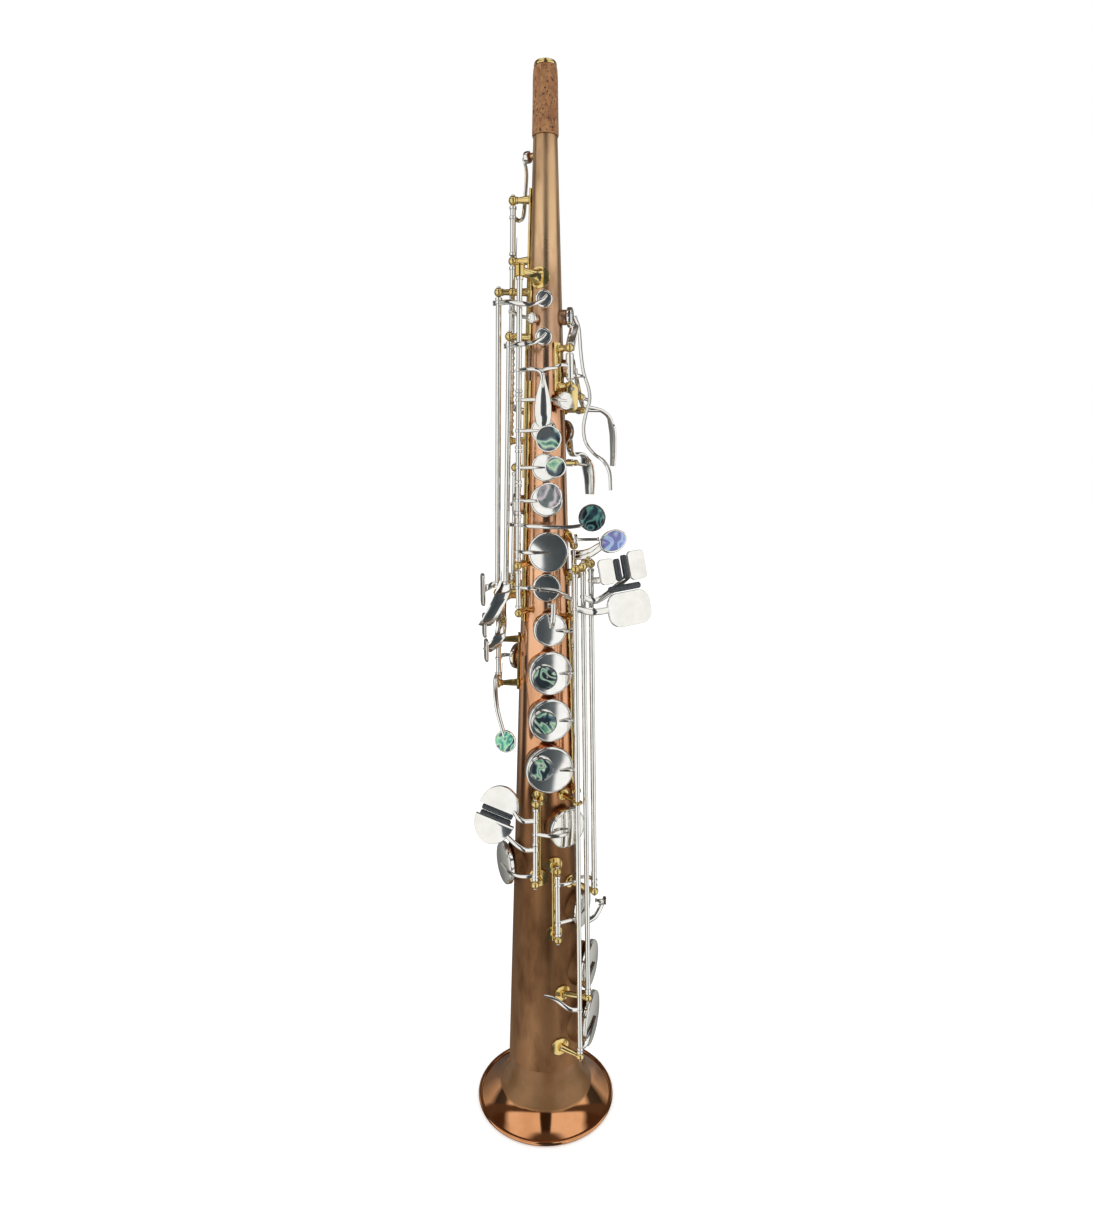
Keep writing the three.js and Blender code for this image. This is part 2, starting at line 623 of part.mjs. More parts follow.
function addTable() {
  const face = (outline, u, v) => plate(outline, 2, onTable(u, v), tableAcross, tableUp);
  const flat = rods.lowBFlat;
  addKey("low_bb_key", flat, ...clear(flat), tones.lowBFlat, 0, [
    bar([onRod(flat, 56), point(33, -23, 57), point(35.4, -14, 60), crownPoint(tones.lowBFlat)], 3.4, 2.2),
  ], [
    bar([onRod(flat, 349.4), point(27, -36.6, 349), point(37, -33, 349.6), onTable(-5, -16)], 4.4, 2),
    face(rounded(27, 20, 7), 1, -16.9),
  ]);
  const b = rods.lowB;
  addKey("low_b_key", b, ...clear(b), tones.lowB, 0, [
    bar([onRod(b, 97), point(34, -19.6, 98), point(35.4, -12.6, 101), crownPoint(tones.lowB)], 3.2, 2.2),
  ], [
    bar([onRod(b, 356), point(29.6, -28.4, 354), point(41, -20.4, 360), onTable(11, 6)], 4, 2),
    face(rounded(10.6, 17, 3), 10.4, 7.4),
  ]);
  const c = rods.cSharpLever;
  addLever("low_csharp_lever", c, ...clear(c), 6, [
    bar([onRod(c, 173), point(26.4, -17.8, 173), point(19.6, -19.4, 173)], 2.6, 1.8),
    bar([onRod(c, 365), point(32, -26.4, 366), onTable(-9.6, 4.6)], 4, 2),
    face(rounded(9.6, 15, 3), -9, 6.4),
  ]);
  const key = rods.cSharp;
  addKey("low_csharp_key", key, ...clear(key), tones.cSharp, 2, [
    bar([onRod(key, 147), at(147, -62, 8), at(147, -50, 8.2), crownPoint(tones.cSharp)], 3, 2),
    bar([onRod(key, 173), point(13, -27, 173), point(19.4, -23.2, 173)], 2.6, 1.8),
  ]);
  addRoller("table_roller_csharp", "low_csharp_lever", onTable(-2.1, 6.4, 0.5), tableUp, 13);
  addRoller("table_roller_b", "low_b_key", onTable(2.6, 7.4, 0.5), tableUp, 14);
  addRoller("table_roller_bb", "low_bb_key", onTable(0, -4.4, 0.7), tableAcross, 20);
}

// The lower stack, under the right hand

function addLowerStack() {
  const rod = rods.lowerStack;
  addKey("fsharp_key", rod, 323.4, rod[1].z - beside, tones.fSharp, 0, [
    cupArm(rod, tones.fSharp, 334),
    bar([point(2.4, -22, 338), point(2.6, -25.2, 343), point(2.6, -25.6, 352)], 3, 2),
  ]);
  stackKey("f_key", rod, 294.4, 323, tones.f, -2, 307.2);
  stackKey("e_key", rod, 264.2, 294, tones.e, -2.2, 279.4);
  stackKey("d_key", rod, rod[0].z + beside, 263.8, tones.d, -4.2, 250.4);
}

// The little-finger keys of the right hand

function addPinkyKeys() {
  const rod = rods.pinky;
  const across = point(0.93, -0.18, -0.32).normalize();
  const face = point(-0.3, -0.93, 0.1).normalize();
  const along = face.clone().cross(across).normalize();
  const centre = point(-30, -27, 220);
  const spot = (u, v, raised = 0) =>
    centre.clone().addScaledVector(across, u).addScaledVector(along, v).addScaledVector(face, raised);
  const halfOval = (turn) =>
    new THREE.Shape().absellipse(0, 0, 12, 13, turn, turn + Math.PI, false);
  const [flat, c] = [tones.eFlat, tones.c];
  addKey("eflat_key", rod, 200, rod[1].z - beside, flat, 2.4, [
    bar([onRod(rod, 207.5), point(4, -30.6, 207.5), crownPoint(flat, 0.3)], 3, 2, 4),
    bar([onRod(rod, 216), point(-15, -32, 219), spot(2, 9)], 3.6, 2),
    plate(halfOval(0), 2, spot(0, 4.4), across, along),
  ]);
  addKey("low_c_key", rod, rod[0].z + beside, 199.6, c, 0, [
    bar([onRod(rod, 180), at(179, -118, 11), at(178, -138, 9.4), crownPoint(c)], 3, 2),
  ], [
    bar([onRod(rod, 197), point(-15, -33, 201), spot(2, -9)], 3.6, 2),
    plate(halfOval(Math.PI), 2, spot(0, -4.4), across, along),
  ]);
  addRoller("pinky_roller_eflat", "eflat_key", spot(0, 2.0, 0.6), across, 17, 1.7);
  addRoller("pinky_roller_c", "low_c_key", spot(0, -2.1, 0.6), across, 17, 1.7);
}

// Palm keys: see-saw levers on short cross tubes at the left hand

const palmKeys = [
  {
    name: "palm_f",
    tone: tones.palmF,
    pivot: [21.4, 471],
    lever: [[18.4, 507], [21, 496], [22, 483], [21.4, 471], [22.6, 458], [28, 445], [34, 436], [36.6, 420]],
  },
  {
    name: "palm_eb",
    tone: tones.palmEFlat,
    pivot: [21.6, 464],
    lever: [[19.2, 480], [21, 472], [21.6, 464], [25, 460], [32, 463], [37, 460], [39, 446]],
  },
  {
    name: "palm_d",
    tone: tones.palmD,
    pivot: [22.2, 433],
    lever: [[20.8, 447], [22.2, 433], [28, 432], [34, 429], [35.6, 414]],
  },
];

function addPalmKeys() {
  for (const { name, tone, pivot, lever } of palmKeys) {
    const [radius, z] = pivot;
    const inPlane = (r, height, sideways = 0) =>
      outward(tone.azimuth).multiplyScalar(r).addScaledVector(around(tone.azimuth), sideways).setZ(height);
    const path = [crownPoint(tone, 0.3), ...lever.map(([r, height]) => inPlane(r, height))];
    add(`${name}_key`, "silver", [
      cup(tone),
      bar(path, 4.4, 1.8, 14),
      rodBetween(inPlane(radius, z, -2.4), inPlane(radius, z, 2.4), rodRadius + 0.2),
    ], {
      hinge: {
        origin: inPlane(radius, z).toArray(),
        axis: around(tone.azimuth).toArray(),
        turn: Math.atan2(2, tone.z - z) / degree,
      },
    });
    const ends = [inPlane(radius, z, -4.4), inPlane(radius, z, 4.4)];
    add(`${name}_posts`, "brass", [
      band(z - 2.4, z + 2.4, tone.azimuth - 15, tone.azimuth + 15),
      ...ends.map((end) => join([ball(end, 1.9), rodBetween(at(z, azimuthOf(end), 0.8), end, 1.5)])),
    ]);
  }
}

// What the hands rest on, at the back

function addRests() {
  const rest = at(440, 96, 0.8);
  add("thumb_rest", "brass", [
    foot(440, 96, 5.4),
    turned([[0, 0], [3, 0], [7, 2.6], [6, 4.4], [0, 5]], rest, outward(96), 14),
  ]);
  const loop = new THREE.TorusGeometry(5, 1.3, 6, 12).rotateY(Math.PI / 2);
  add("strap_ring", "brass", [
    foot(398, 90, 5),
    solid(loop.translate(...at(398, 90, 9).toArray())),
    rodBetween(at(398, 90, 0.6), at(398, 90, 4.4), 2.4),
  ]);
  add("thumb_hook_plate", "brass", [band(290, 328, 78, 102, 1.4)]);
  const hook = [at(306, 90, 3.4), at(308, 90, 14), at(302, 90, 23), at(290, 90, 25)];
  add("thumb_hook", "brass", [
    plate(rounded(9, 20, 3), 2, at(306, 90, 3.6), around(90).negate(), up),
    bar(hook, 2.6, 9, 6),
  ], {
    slide: { axis: [0, 0, 1], low: -6, high: 6 },
  });
}

addBody();
addPosts();
addOctaveKeys();
addSideKeys();
addUpperStack();
addGSharp();
addTable();
addLowerStack();
addPinkyKeys();
addPalmKeys();
addRests();

export default saxophone;
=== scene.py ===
import math
import bmesh
import bpy
from mathutils import Matrix, Vector


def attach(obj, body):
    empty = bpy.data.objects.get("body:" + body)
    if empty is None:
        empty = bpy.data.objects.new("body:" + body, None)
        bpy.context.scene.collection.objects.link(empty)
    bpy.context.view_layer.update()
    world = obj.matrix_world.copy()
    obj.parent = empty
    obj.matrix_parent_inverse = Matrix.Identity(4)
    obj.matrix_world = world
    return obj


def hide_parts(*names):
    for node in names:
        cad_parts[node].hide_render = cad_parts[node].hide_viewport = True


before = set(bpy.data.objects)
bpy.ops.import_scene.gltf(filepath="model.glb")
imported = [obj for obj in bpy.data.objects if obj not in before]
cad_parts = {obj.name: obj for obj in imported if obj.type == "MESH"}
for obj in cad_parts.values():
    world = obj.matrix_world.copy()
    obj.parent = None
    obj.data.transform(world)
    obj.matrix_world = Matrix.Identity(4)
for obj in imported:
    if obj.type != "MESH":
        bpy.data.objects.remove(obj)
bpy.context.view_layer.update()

# Camera, light and floor

studio = {
    "cameraPlace": (0.0009, -0.48666, 0.43706),
    "cameraTilt": 0.1847,  # radians below level
    "lens": 23.72,
    "sensorWidth": 36,
    "nearClip": 0.01,
    "floorSize": 12.0,
    "floorRoughness": 0.9,
    "floorGlow": 0.25,
    "skyStrength": 1.0,
    "gapAngle": 18,  # half width in degrees of the dark gap between the two light walls
    "leanFrom": -20,  # the gap's lean in degrees where its ramp is black
    "leanSpan": 92,  # and how much further it leans where the ramp is white
    "dim": "#5a4f45",
}
leanStops = [(-24, 8), (-18, 11.5), (-6, 11.5), (0, 4), (14, 4)]  # elevation and lean, in degrees
boxStops = [(0.0, "#33291f"), (0.07, "#33291f"), (0.09, "#ffffff"), (0.47, "#ffffff"), (0.53, "#4c3a2c"),
            (1.0, "#4c3a2c")]
boxHeights = [(39, "#000000"), (42, "#ffffff"), (68, "#ffffff"), (72, "#000000")]
wallHeights = [(-58, "#8a8a8a"), (-44, "#ffffff"), (29, "#ffffff"), (32, "#000000")]


def linearOf(value):
    return value / 12.92 if value <= 0.04045 else ((value + 0.055) / 1.055) ** 2.4


def hexColour(code):
    # sRGB hex to linear
    return (*[linearOf(int(code[i:i + 2], 16) / 255) for i in (1, 3, 5)], 1.0)


def addNode(tree, kind, links=None, **settings):
    # One node with its settings; links maps an input's name or number to an output socket or a value.
    node = tree.nodes.new(kind)
    for key, value in settings.items():
        setattr(node, key, value)
    for key, value in (links or {}).items():
        if isinstance(value, bpy.types.NodeSocket):
            tree.links.new(value, node.inputs[key])
        else:
            node.inputs[key].default_value = value
    return node


def maths(tree, operation, *values):
    return addNode(tree, "ShaderNodeMath", dict(enumerate(values)), operation=operation).outputs[0]


def mapRange(tree, value, low, high, newLow=0.0, newHigh=1.0):
    links = {"Value": value, "From Min": low, "From Max": high, "To Min": newLow, "To Max": newHigh}
    return addNode(tree, "ShaderNodeMapRange", links).outputs[0]


def ramp(tree, value, stops):
    node = addNode(tree, "ShaderNodeValToRGB", {0: value})
    elements = node.color_ramp.elements
    while len(elements) > 1:
        elements.remove(elements[-1])
    elements[0].position = stops[0][0]
    elements[0].color = hexColour(stops[0][1])
    for place, code in stops[1:]:
        elements.new(place).color = hexColour(code)
    return node.outputs["Color"]


def blend(tree, factor, a, b, way="MIX"):
    links = {"Factor": factor, "A": a, "B": b}
    return addNode(tree, "ShaderNodeMix", links, data_type="RGBA", blend_type=way).outputs["Result"]


def leaning(degrees):
    # The grey that stands for a lean of the gap
    linear = (degrees - studio["leanFrom"]) / studio["leanSpan"]
    return "#" + 3 * format(round(255 * (1.055 * linear ** (1 / 2.4) - 0.055)), "02x")


def byHeight(stops):
    # Stops at elevations in degrees, as shares of the way from straight down to straight up
    return [(0.5 + degrees / 180, code) for degrees, code in stops]


def buildCamera():
    cameraData = bpy.data.cameras.new("camera")
    cameraData.lens = studio["lens"]
    cameraData.sensor_width = studio["sensorWidth"]
    cameraData.clip_start = studio["nearClip"]
    camera = bpy.data.objects.new("camera", cameraData)
    camera.location = studio["cameraPlace"]
    camera.rotation_euler = (math.pi / 2 - studio["cameraTilt"], 0, 0)
    bpy.context.scene.collection.objects.link(camera)
    bpy.context.scene.camera = camera
    bpy.context.scene.view_settings.view_transform = "Standard"


def buildWorld():
    # Metal sees a studio: light walls with a dark gap behind the camera, dark wings, two soft boxes overhead
    # and a dark table. Everything else sees plain white.
    world = bpy.data.worlds.new("studioWalls")
    bpy.context.scene.world = world
    world.use_nodes = True
    tree = world.node_tree
    tree.nodes.clear()
    way = addNode(tree, "ShaderNodeTexCoord").outputs["Generated"]
    parts = addNode(tree, "ShaderNodeSeparateXYZ", {0: way}).outputs
    angle = maths(tree, "ARCTAN2", parts["X"], maths(tree, "MULTIPLY", parts["Y"], -1.0))
    level = mapRange(tree, maths(tree, "ARCSINE", parts["Z"]), -math.pi / 2, math.pi / 2)

    # The gap stands a little to the right, more so lower down.
    lean = ramp(tree, level, byHeight([(degrees, leaning(turn)) for degrees, turn in leanStops]))
    leanTo = studio["leanFrom"] + studio["leanSpan"]
    leanAngle = mapRange(tree, lean, 0.0, 1.0, math.radians(studio["leanFrom"]), math.radians(leanTo))
    leant = maths(tree, "SUBTRACT", angle, leanAngle)
    wallShare = maths(tree, "DIVIDE", maths(tree, "ABSOLUTE", leant), math.pi)
    gap = studio["gapAngle"] / 180
    walls = ramp(tree, wallShare, [
        (0.0, "#3d4245"), (gap * 0.7, "#4c5154"), (gap, "#666b6e"), (gap + 0.01, "#ffffff"),
        (gap + 0.08, "#fbfaf6"), (0.5, "#f4f4f0"), (0.56, "#4a4d4f"), (0.66, "#3a3c3d"), (0.71, "#c4c4be"),
        (0.82, "#7c7c79"), (1.0, "#565654"),
    ])
    boxes = ramp(tree, maths(tree, "DIVIDE", maths(tree, "ABSOLUTE", angle), math.pi), boxStops)
    isBox = ramp(tree, level, byHeight(boxHeights))
    isWall = ramp(tree, level, byHeight(wallHeights))
    wallLight = blend(tree, isWall, hexColour(studio["dim"]), walls)
    light = blend(tree, isBox, wallLight, boxes)
    mirror = addNode(tree, "ShaderNodeLightPath").outputs["Is Glossy Ray"]
    shown = blend(tree, mirror, (1, 1, 1, 1), light)
    sky = addNode(tree, "ShaderNodeBackground", {"Color": shown, "Strength": studio["skyStrength"]})
    addNode(tree, "ShaderNodeOutputWorld", {"Surface": sky.outputs[0]})


def newMaterial(name, **sockets):
    material = bpy.data.materials.new(name)
    material.use_nodes = True
    shader = material.node_tree.nodes["Principled BSDF"]
    for key, value in sockets.items():
        shader.inputs[key.replace("_", " ")].default_value = value
    return material, material.node_tree, shader


def buildFloor():
    shape = bmesh.new()
    bmesh.ops.create_circle(shape, cap_ends=True, segments=64, radius=studio["floorSize"] / 2)
    mesh = bpy.data.meshes.new("floor")
    shape.to_mesh(mesh)
    shape.free()
    floor = bpy.data.objects.new("floor", mesh)
    bpy.context.scene.collection.objects.link(floor)
    paper = newMaterial("white seamless paper", Base_Color=hexColour("#fbfbfa"),
        Roughness=studio["floorRoughness"],
                        Emission_Color=(1, 1, 1, 1), Emission_Strength=studio["floorGlow"])[0]
    mesh.materials.append(paper)
    floor.visible_glossy = False  # the table is dark in the metal's reflections, as in a light tent


buildCamera()
buildWorld()
buildFloor()
print("studio ready")

# Materials


def patternPlace(tree, scale=(1, 1, 1), start=(0, 0, 0)):
    place = addNode(tree, "ShaderNodeTexCoord").outputs["Object"]
    links = {"Vector": place, "Scale": scale, "Location": start}
    return addNode(tree, "ShaderNodeMapping", links).outputs["Vector"]


def noise(tree, place, scale, detail, **more):
    links = {"Vector": place, "Scale": scale, "Detail": detail, **more}
    return addNode(tree, "ShaderNodeTexNoise", links).outputs["Fac"]


def heightOf(tree):
    place = addNode(tree, "ShaderNodeTexCoord").outputs["Object"]
    return addNode(tree, "ShaderNodeSeparateXYZ", {0: place}).outputs["Z"]


def feed(tree, shader, **sockets):
    for key, output in sockets.items():
        tree.links.new(output, shader.inputs[key.replace("_", " ")])


def bumpFrom(tree, shader, height, strength, depth):
    links = {"Height": height, "Strength": strength, "Distance": depth}
    feed(tree, shader, Normal=addNode(tree, "ShaderNodeBump", links).outputs["Normal"])


tubeBronze = {
    "length": 0.65,
    "tones": [(0.0, "#b4875f"), (0.1, "#ab815c"), (0.2, "#99714e"), (0.31, "#9c704b"), (0.36, "#c99064"),
              (0.42, "#f2b48a"), (0.55, "#fbc49c"), (0.7, "#f8c29c"), (0.78, "#e6bb9a"), (0.86, "#edc69a"),
              (0.94, "#e9c094")],
    "stain": [(0.36, "#a2948a"), (0.54, "#ffffff")],
    "dullness": [(0.0, "#d4d4d4"), (0.2, "#cacaca"), (0.31, "#a4a4a4"), (0.38, "#585858"), (0.74, "#505050"),
                 (0.79, "#9c9c9c"), (1.0, "#9c9c9c")],
}


def makePhosphorBronze():
    # Phosphor bronze, hand polished: rosy at the top, and browned by the hands and by age lower down
    material, tree, shader = newMaterial("phosphor bronze, aged", Metallic=1.0, Roughness=0.2)
    clouds = noise(tree, patternPlace(tree, (1, 1, 0.45)), 45.0, 6.0, Roughness=0.62)
    level = maths(tree, "ADD", heightOf(tree), maths(tree, "MULTIPLY_ADD", clouds, 0.06, -0.03))
    share = maths(tree, "DIVIDE", level, tubeBronze["length"])
    tones = ramp(tree, share, tubeBronze["tones"])
    stain = ramp(tree, noise(tree, patternPlace(tree, (1, 1, 0.3)), 70.0, 5.0), tubeBronze["stain"])
    dull = maths(tree, "MULTIPLY", ramp(tree, share, tubeBronze["dullness"]), clouds)
    feed(tree, shader, Base_Color=blend(tree, 0.7, tones, stain, "MULTIPLY"),
         Roughness=maths(tree, "MULTIPLY_ADD", dull, 1.7, 0.06))
    bumpFrom(tree, shader, clouds, 0.12, 0.0004)
    return material


bellBronze = {
    "edge": (0.0128, 0.0142),  # heights between which the buffing gives way to patina
    "bright": [(0.3, "#d08e5c"), (0.55, "#e2a06e"), (0.75, "#d4945f")],
    "patina": [(0.3, "#947048"), (0.55, "#ac825a"), (0.75, "#b98c62")],
}


def makeBellBronze():
    # The bell's foot is buffed bright, up to a soft line about 12 mm above the rim, where the patina begins.
    material, tree, shader = newMaterial("bronze bell, buffed", Metallic=1.0, Roughness=0.1, Coat_Weight=0.3,
                                         Coat_Roughness=0.05)
    clouds = noise(tree, patternPlace(tree), 60.0, 6.0)
    brown = mapRange(tree, maths(tree, "MULTIPLY_ADD", clouds, 0.003, heightOf(tree)), *bellBronze["edge"])
    bright = ramp(tree, clouds, bellBronze["bright"])
    patina = ramp(tree, clouds, bellBronze["patina"])
    feed(tree, shader, Base_Color=blend(tree, brown, bright, patina),
         Roughness=maths(tree, "MULTIPLY_ADD", brown, 0.55, 0.07))
    return material


def makePlatedMetal(name, light, dark, roughness, coat):
    # A bright plated or lacquered surface: faint clouding and fine hairlines, about 0.4 mm apart
    material, tree, shader = newMaterial(name, Metallic=1.0, Roughness=roughness, Coat_Weight=coat,
                                         Coat_Roughness=0.04)
    clouds = noise(tree, patternPlace(tree), 160.0, 4.0)
    feed(tree, shader, Base_Color=ramp(tree, clouds, [(0.3, dark), (0.65, light)]),
         Roughness=maths(tree, "MULTIPLY_ADD", clouds, roughness * 1.2, roughness * 0.4))
    bumpFrom(tree, shader, noise(tree, patternPlace(tree, (1, 1, 0.05)), 2500.0, 2.0), 0.04, 0.00005)
    return material


def makeCork():
    # Sheet cork glued round the tenon and sanded: grains of 1 to 2 mm and dark pores
    material, tree, shader = newMaterial("sheet cork, sanded", Roughness=0.85)
    links = {"Vector": patternPlace(tree, (1, 1, 0.7)), "Scale": 650.0, "Randomness": 1.0}
    grains = addNode(tree, "ShaderNodeTexVoronoi", links).outputs["Color"]
    tint = ramp(tree, grains, [(0.1, "#7c5032"), (0.5, "#946741"), (0.9, "#a3754c")])
    pores = noise(tree, patternPlace(tree, (1, 1, 0.8)), 820.0, 2.0)
    holes = ramp(tree, pores, [(0.33, "#5c3a26"), (0.40, "#ffffff")])
    feed(tree, shader, Base_Color=blend(tree, 1.0, tint, holes, "MULTIPLY"))
    bumpFrom(tree, shader, holes, 0.6, 0.0004)
    return material


def makeAbalone(name, start, *shades):
    # Abalone shell under clear polish: layers 1 to 3 mm wide that fold over one another, each button cut from
    # another place
    material, tree, shader = newMaterial(name, Roughness=0.22, Coat_Weight=1.0, Coat_Roughness=0.03,
                                         Metallic=0.15)
    place = patternPlace(tree, start=(start, 0, 0))
    folds = noise(tree, place, 62.0, 1.2, Roughness=0.5, Distortion=0.9)
    wave = maths(tree, "SINE", maths(tree, "MULTIPLY", folds, 27.0))
    wave = maths(tree, "MULTIPLY_ADD", wave, 0.5, 0.5)
    mixed = maths(tree, "MULTIPLY_ADD", noise(tree, place, 150.0, 4.0), 1.5, wave)
    stops = [(0.2 + 0.6 * i / (len(shades) - 1), code) for i, code in enumerate(shades)]
    feed(tree, shader, Base_Color=ramp(tree, maths(tree, "DIVIDE", mixed, 2.0), stops))
    bumpFrom(tree, shader, folds, 0.05, 0.0002)
    return material


def makePadLeather():
    # Pads: felt under thin tan kid leather, with a fine grain
    material, tree, shader = newMaterial("kid leather pad", Roughness=0.6)
    links = {"Vector": patternPlace(tree), "Scale": 1600.0}
    grain = addNode(tree, "ShaderNodeTexVoronoi", links).outputs["Distance"]
    feed(tree, shader, Base_Color=ramp(tree, grain, [(0.0, "#8a5a36"), (0.7, "#6d4329")]))
    bumpFrom(tree, shader, grain, 0.3, 0.0001)
    return material


def makeEbonite():
    # Rollers turned from hard rubber and polished
    material, tree, shader = newMaterial("polished ebonite", Roughness=0.28)
    dust = noise(tree, patternPlace(tree), 600.0, 4.0)
    feed(tree, shader, Base_Color=ramp(tree, dust, [(0.3, "#2c3033"), (0.7, "#3f4447")]),
         Roughness=maths(tree, "MULTIPLY_ADD", dust, 0.25, 0.16))
    return material


shells = {
    "green": (0.0, "#1c2826", "#2f5f58", "#6fa68a", "#bdd4ae", "#8c9a94", "#3f6674", "#232e33"),
    "rose": (0.07, "#3c4044", "#6f7478", "#a79fa6", "#cdbcc2", "#8d9794", "#4f5a5c"),
    "dark": (0.13, "#0e151b", "#17262f", "#23404a", "#5d9288", "#1c2a36", "#0f151c"),
    "blue": (0.21, "#4d4a86", "#7a84c8", "#a6b6e6", "#7cc4c0", "#9a86bc", "#5f6aa8"),
    "teal": (0.3, "#183038", "#2a8a7c", "#62c4a6", "#b8dca0", "#2f7490", "#1a2c3a"),
}
finishes = {
    "tube": (makePhosphorBronze(), "bronze_body"),
    "bell": (makeBellBronze(), "bronze_body"),
    "silver": (makePlatedMetal("silver plate", "#fbfaf7", "#f0efeb", 0.06, 0.0), "silver_plate"),
    "brass": (makePlatedMetal("lacquered gold brass", "#f4dc98", "#dcbc70", 0.15, 0.5), "gold_brass"),
    "steel": (makePlatedMetal("blued spring steel", "#6a7482", "#4d5661", 0.25, 0.0), "silver_plate"),
    "cork": (makeCork(), "cork"),
    "leather": (makePadLeather(), "cork"),
    "ebonite": (makeEbonite(), "ebonite"),
}
for shade, cut in shells.items():
    finishes[shade + "Shell"] = (makeAbalone(shade + " abalone", *cut), "silver_plate")
print("finishes ready")

# Measures, in millimetres

tubeShape = {"length": 650, "tipRadius": 5.64, "taper": 0.0314, "wall": 1.1, "flareHeight": 36,
    "corkFoot": 612.5}
keyShape = {"chimney": 2.5, "padGap": 0.3, "cupDepth": 4.4, "openLift": 2.6, "rod": 1.6, "ball": 2.6,
    "pearl": 7.5}
seatHeight = keyShape["chimney"] + keyShape["padGap"]
crownHeight = seatHeight + keyShape["cupDepth"]
beside = keyShape["ball"] + 0.35
up = Vector((0, 0, 1))
millimetre = 0.001
footHeight = 0.6  # how deep below its top a post starts in its foot
smoothAngle = 38
barSides = 14
boxPower = 0.45  # how far a boxy bar's section is pushed out: 1 is round, 0 is square


def vec(x, y, z):
    return Vector((x, y, z))


def tubeRadius(z):
    return tubeShape["tipRadius"] + tubeShape["taper"] * (tubeShape["length"] - z)


def outward(azimuth):
    return vec(math.cos(math.radians(azimuth)), math.sin(math.radians(azimuth)), 0)


def around(azimuth):
    return outward(azimuth + 90)


def at(z, azimuth, height):
    # a point at a height above the tube
    point = outward(azimuth) * (tubeRadius(z) + height)
    point.z = z
    return point


def onRod(name, z):
    low, high = rods[name]
    return low.lerp(high, (z - low.z) / (high.z - low.z))


def azimuthOf(point):
    return math.degrees(math.atan2(point.y, point.x))


# Tone holes: height, azimuth, cup radius, and whether the key stands open
tones = {
    "octaveHigh": (604, 150, 3.2, False), "octaveLow": (514, -122, 3.2, False), "highE": (524, -93, 5, False),
    "palmF": (516, -9, 5.6, False), "sideC": (503.5, -94, 5, False), "palmEFlat": (488, 15, 6.4, False),
    "cVent": (468, -48, 5.2, True), "b": (451.3, -93, 7.4, True), "palmD": (451.6, 46, 7.2, False),
    "bis": (430.5, -89, 8.1, True), "a": (411.5, -87, 9.5, True), "sideBFlat": (408, 180, 7.2, False),
    "g": (381.5, -84, 11.9, True), "gSharp": (360.2, -88, 8.4, False), "fSharp": (335.4, -85, 10.2, True),
    "altFSharp": (311, 148, 8.4, False), "f": (308.7, -84.5, 13.4, True), "e": (279.5, -85, 13.5, True),
    "d": (248.2, -86, 15, True), "eFlat": (207.5, -56, 13, False), "c": (178, -163, 13.6, True),
    "cSharp": (147, -22, 12.6, False), "lowB": (103, -12, 15.4, True), "lowBFlat": (63, -12, 17.4, True),
}

# Hinge rods: the centres of the balls at their two ends, the lower one first
rods = {
    "octaveHigh": (at(547.6, 172, 10.2), at(580.2, 172, 10.8)),
    "octaveLow": (at(446, 172, 9.4), at(547.6, 172, 10.2)),
    "upperStack": (vec(-16.4, -17.8, 373.2), vec(-14.4, -14.2, 539)),
    "gSharp": (vec(-16, -18.4, 344.6), vec(-16.4, -17.8, 373.2)),
    "highE": (vec(-29.2, -7, 355.2), vec(-26.8, -4, 529.4)),
    "sideC": (vec(-24, -12.4, 353.6), vec(-20.6, -9.6, 504.4)),
    "sideBFlat": (at(357, 144, 10.6), at(430, 144, 10.6)),
    "altFSharp": (vec(-29.6, -3, 297), vec(-29.2, -2.8, 325)),
    "lowerStack": (at(231, -41, 7.2), at(340.5, -41, 7.6)),
    "gSharpLever": (at(340.5, -41, 7.6), at(385, -41, 8.4)),
    "rocker": (at(477, -40, 7.6), at(498, -40, 7.6)),
    "lowBFlat": (vec(22.6, -26.4, 49.6), vec(17.2, -29.6, 373)),
    "lowB": (vec(27.6, -24.4, 91.4), vec(21.8, -26.2, 374)),
    "cSharpLever": (vec(31, -22, 165.4), vec(26.6, -22.6, 375)),
    "cSharp": (at(135.6, -75, 8.4), at(182.2, -75, 8.4)),
    "pinky": (at(174, -102.5, 9.6), at(227, -102.5, 9.6)),
}


def crownPoint(tone, raised=0):
    z, azimuth = tones[tone][:2]
    return at(z, azimuth, crownHeight + raised)


# Shapes


def newVerts(shape, old):
    return [v for v in shape.verts if v not in old]


def facing(base, direction, side=None):
    # a matrix that stands +Z along a direction at a point; side is where +X leans
    z = direction.normalized()
    lean = Vector(side) if side else vec(1, 0, 0) if abs(z.x) < 0.9 else up
    x = (lean - z * lean.dot(z)).normalized()
    turn = Matrix((x, z.cross(x), z)).transposed().to_4x4()
    return Matrix.Translation(base) @ turn


def lathe(shape, profile, base=Vector(), direction=up, steps=40):
    old = set(shape.verts)
    points = [shape.verts.new((r, 0, h)) for r, h in profile]
    edges = [shape.edges.new(pair) for pair in zip(points, points[1:])]
    bmesh.ops.spin(shape, geom=points + edges, cent=(0, 0, 0), axis=(0, 0, 1), dvec=(0, 0, 0),
                   angle=2 * math.pi, steps=steps, use_merge=True, use_duplicate=False)
    made = newVerts(shape, old)
    bmesh.ops.remove_doubles(shape, verts=made, dist=1e-4)
    made = newVerts(shape, old)
    bmesh.ops.transform(shape, matrix=facing(base, direction), verts=made)
    return made


def ringProfile(radius, wire, steps):
    turns = [2 * i * math.pi / steps for i in range(steps + 1)]
    return [(radius + wire * math.cos(a), wire * math.sin(a)) for a in turns]


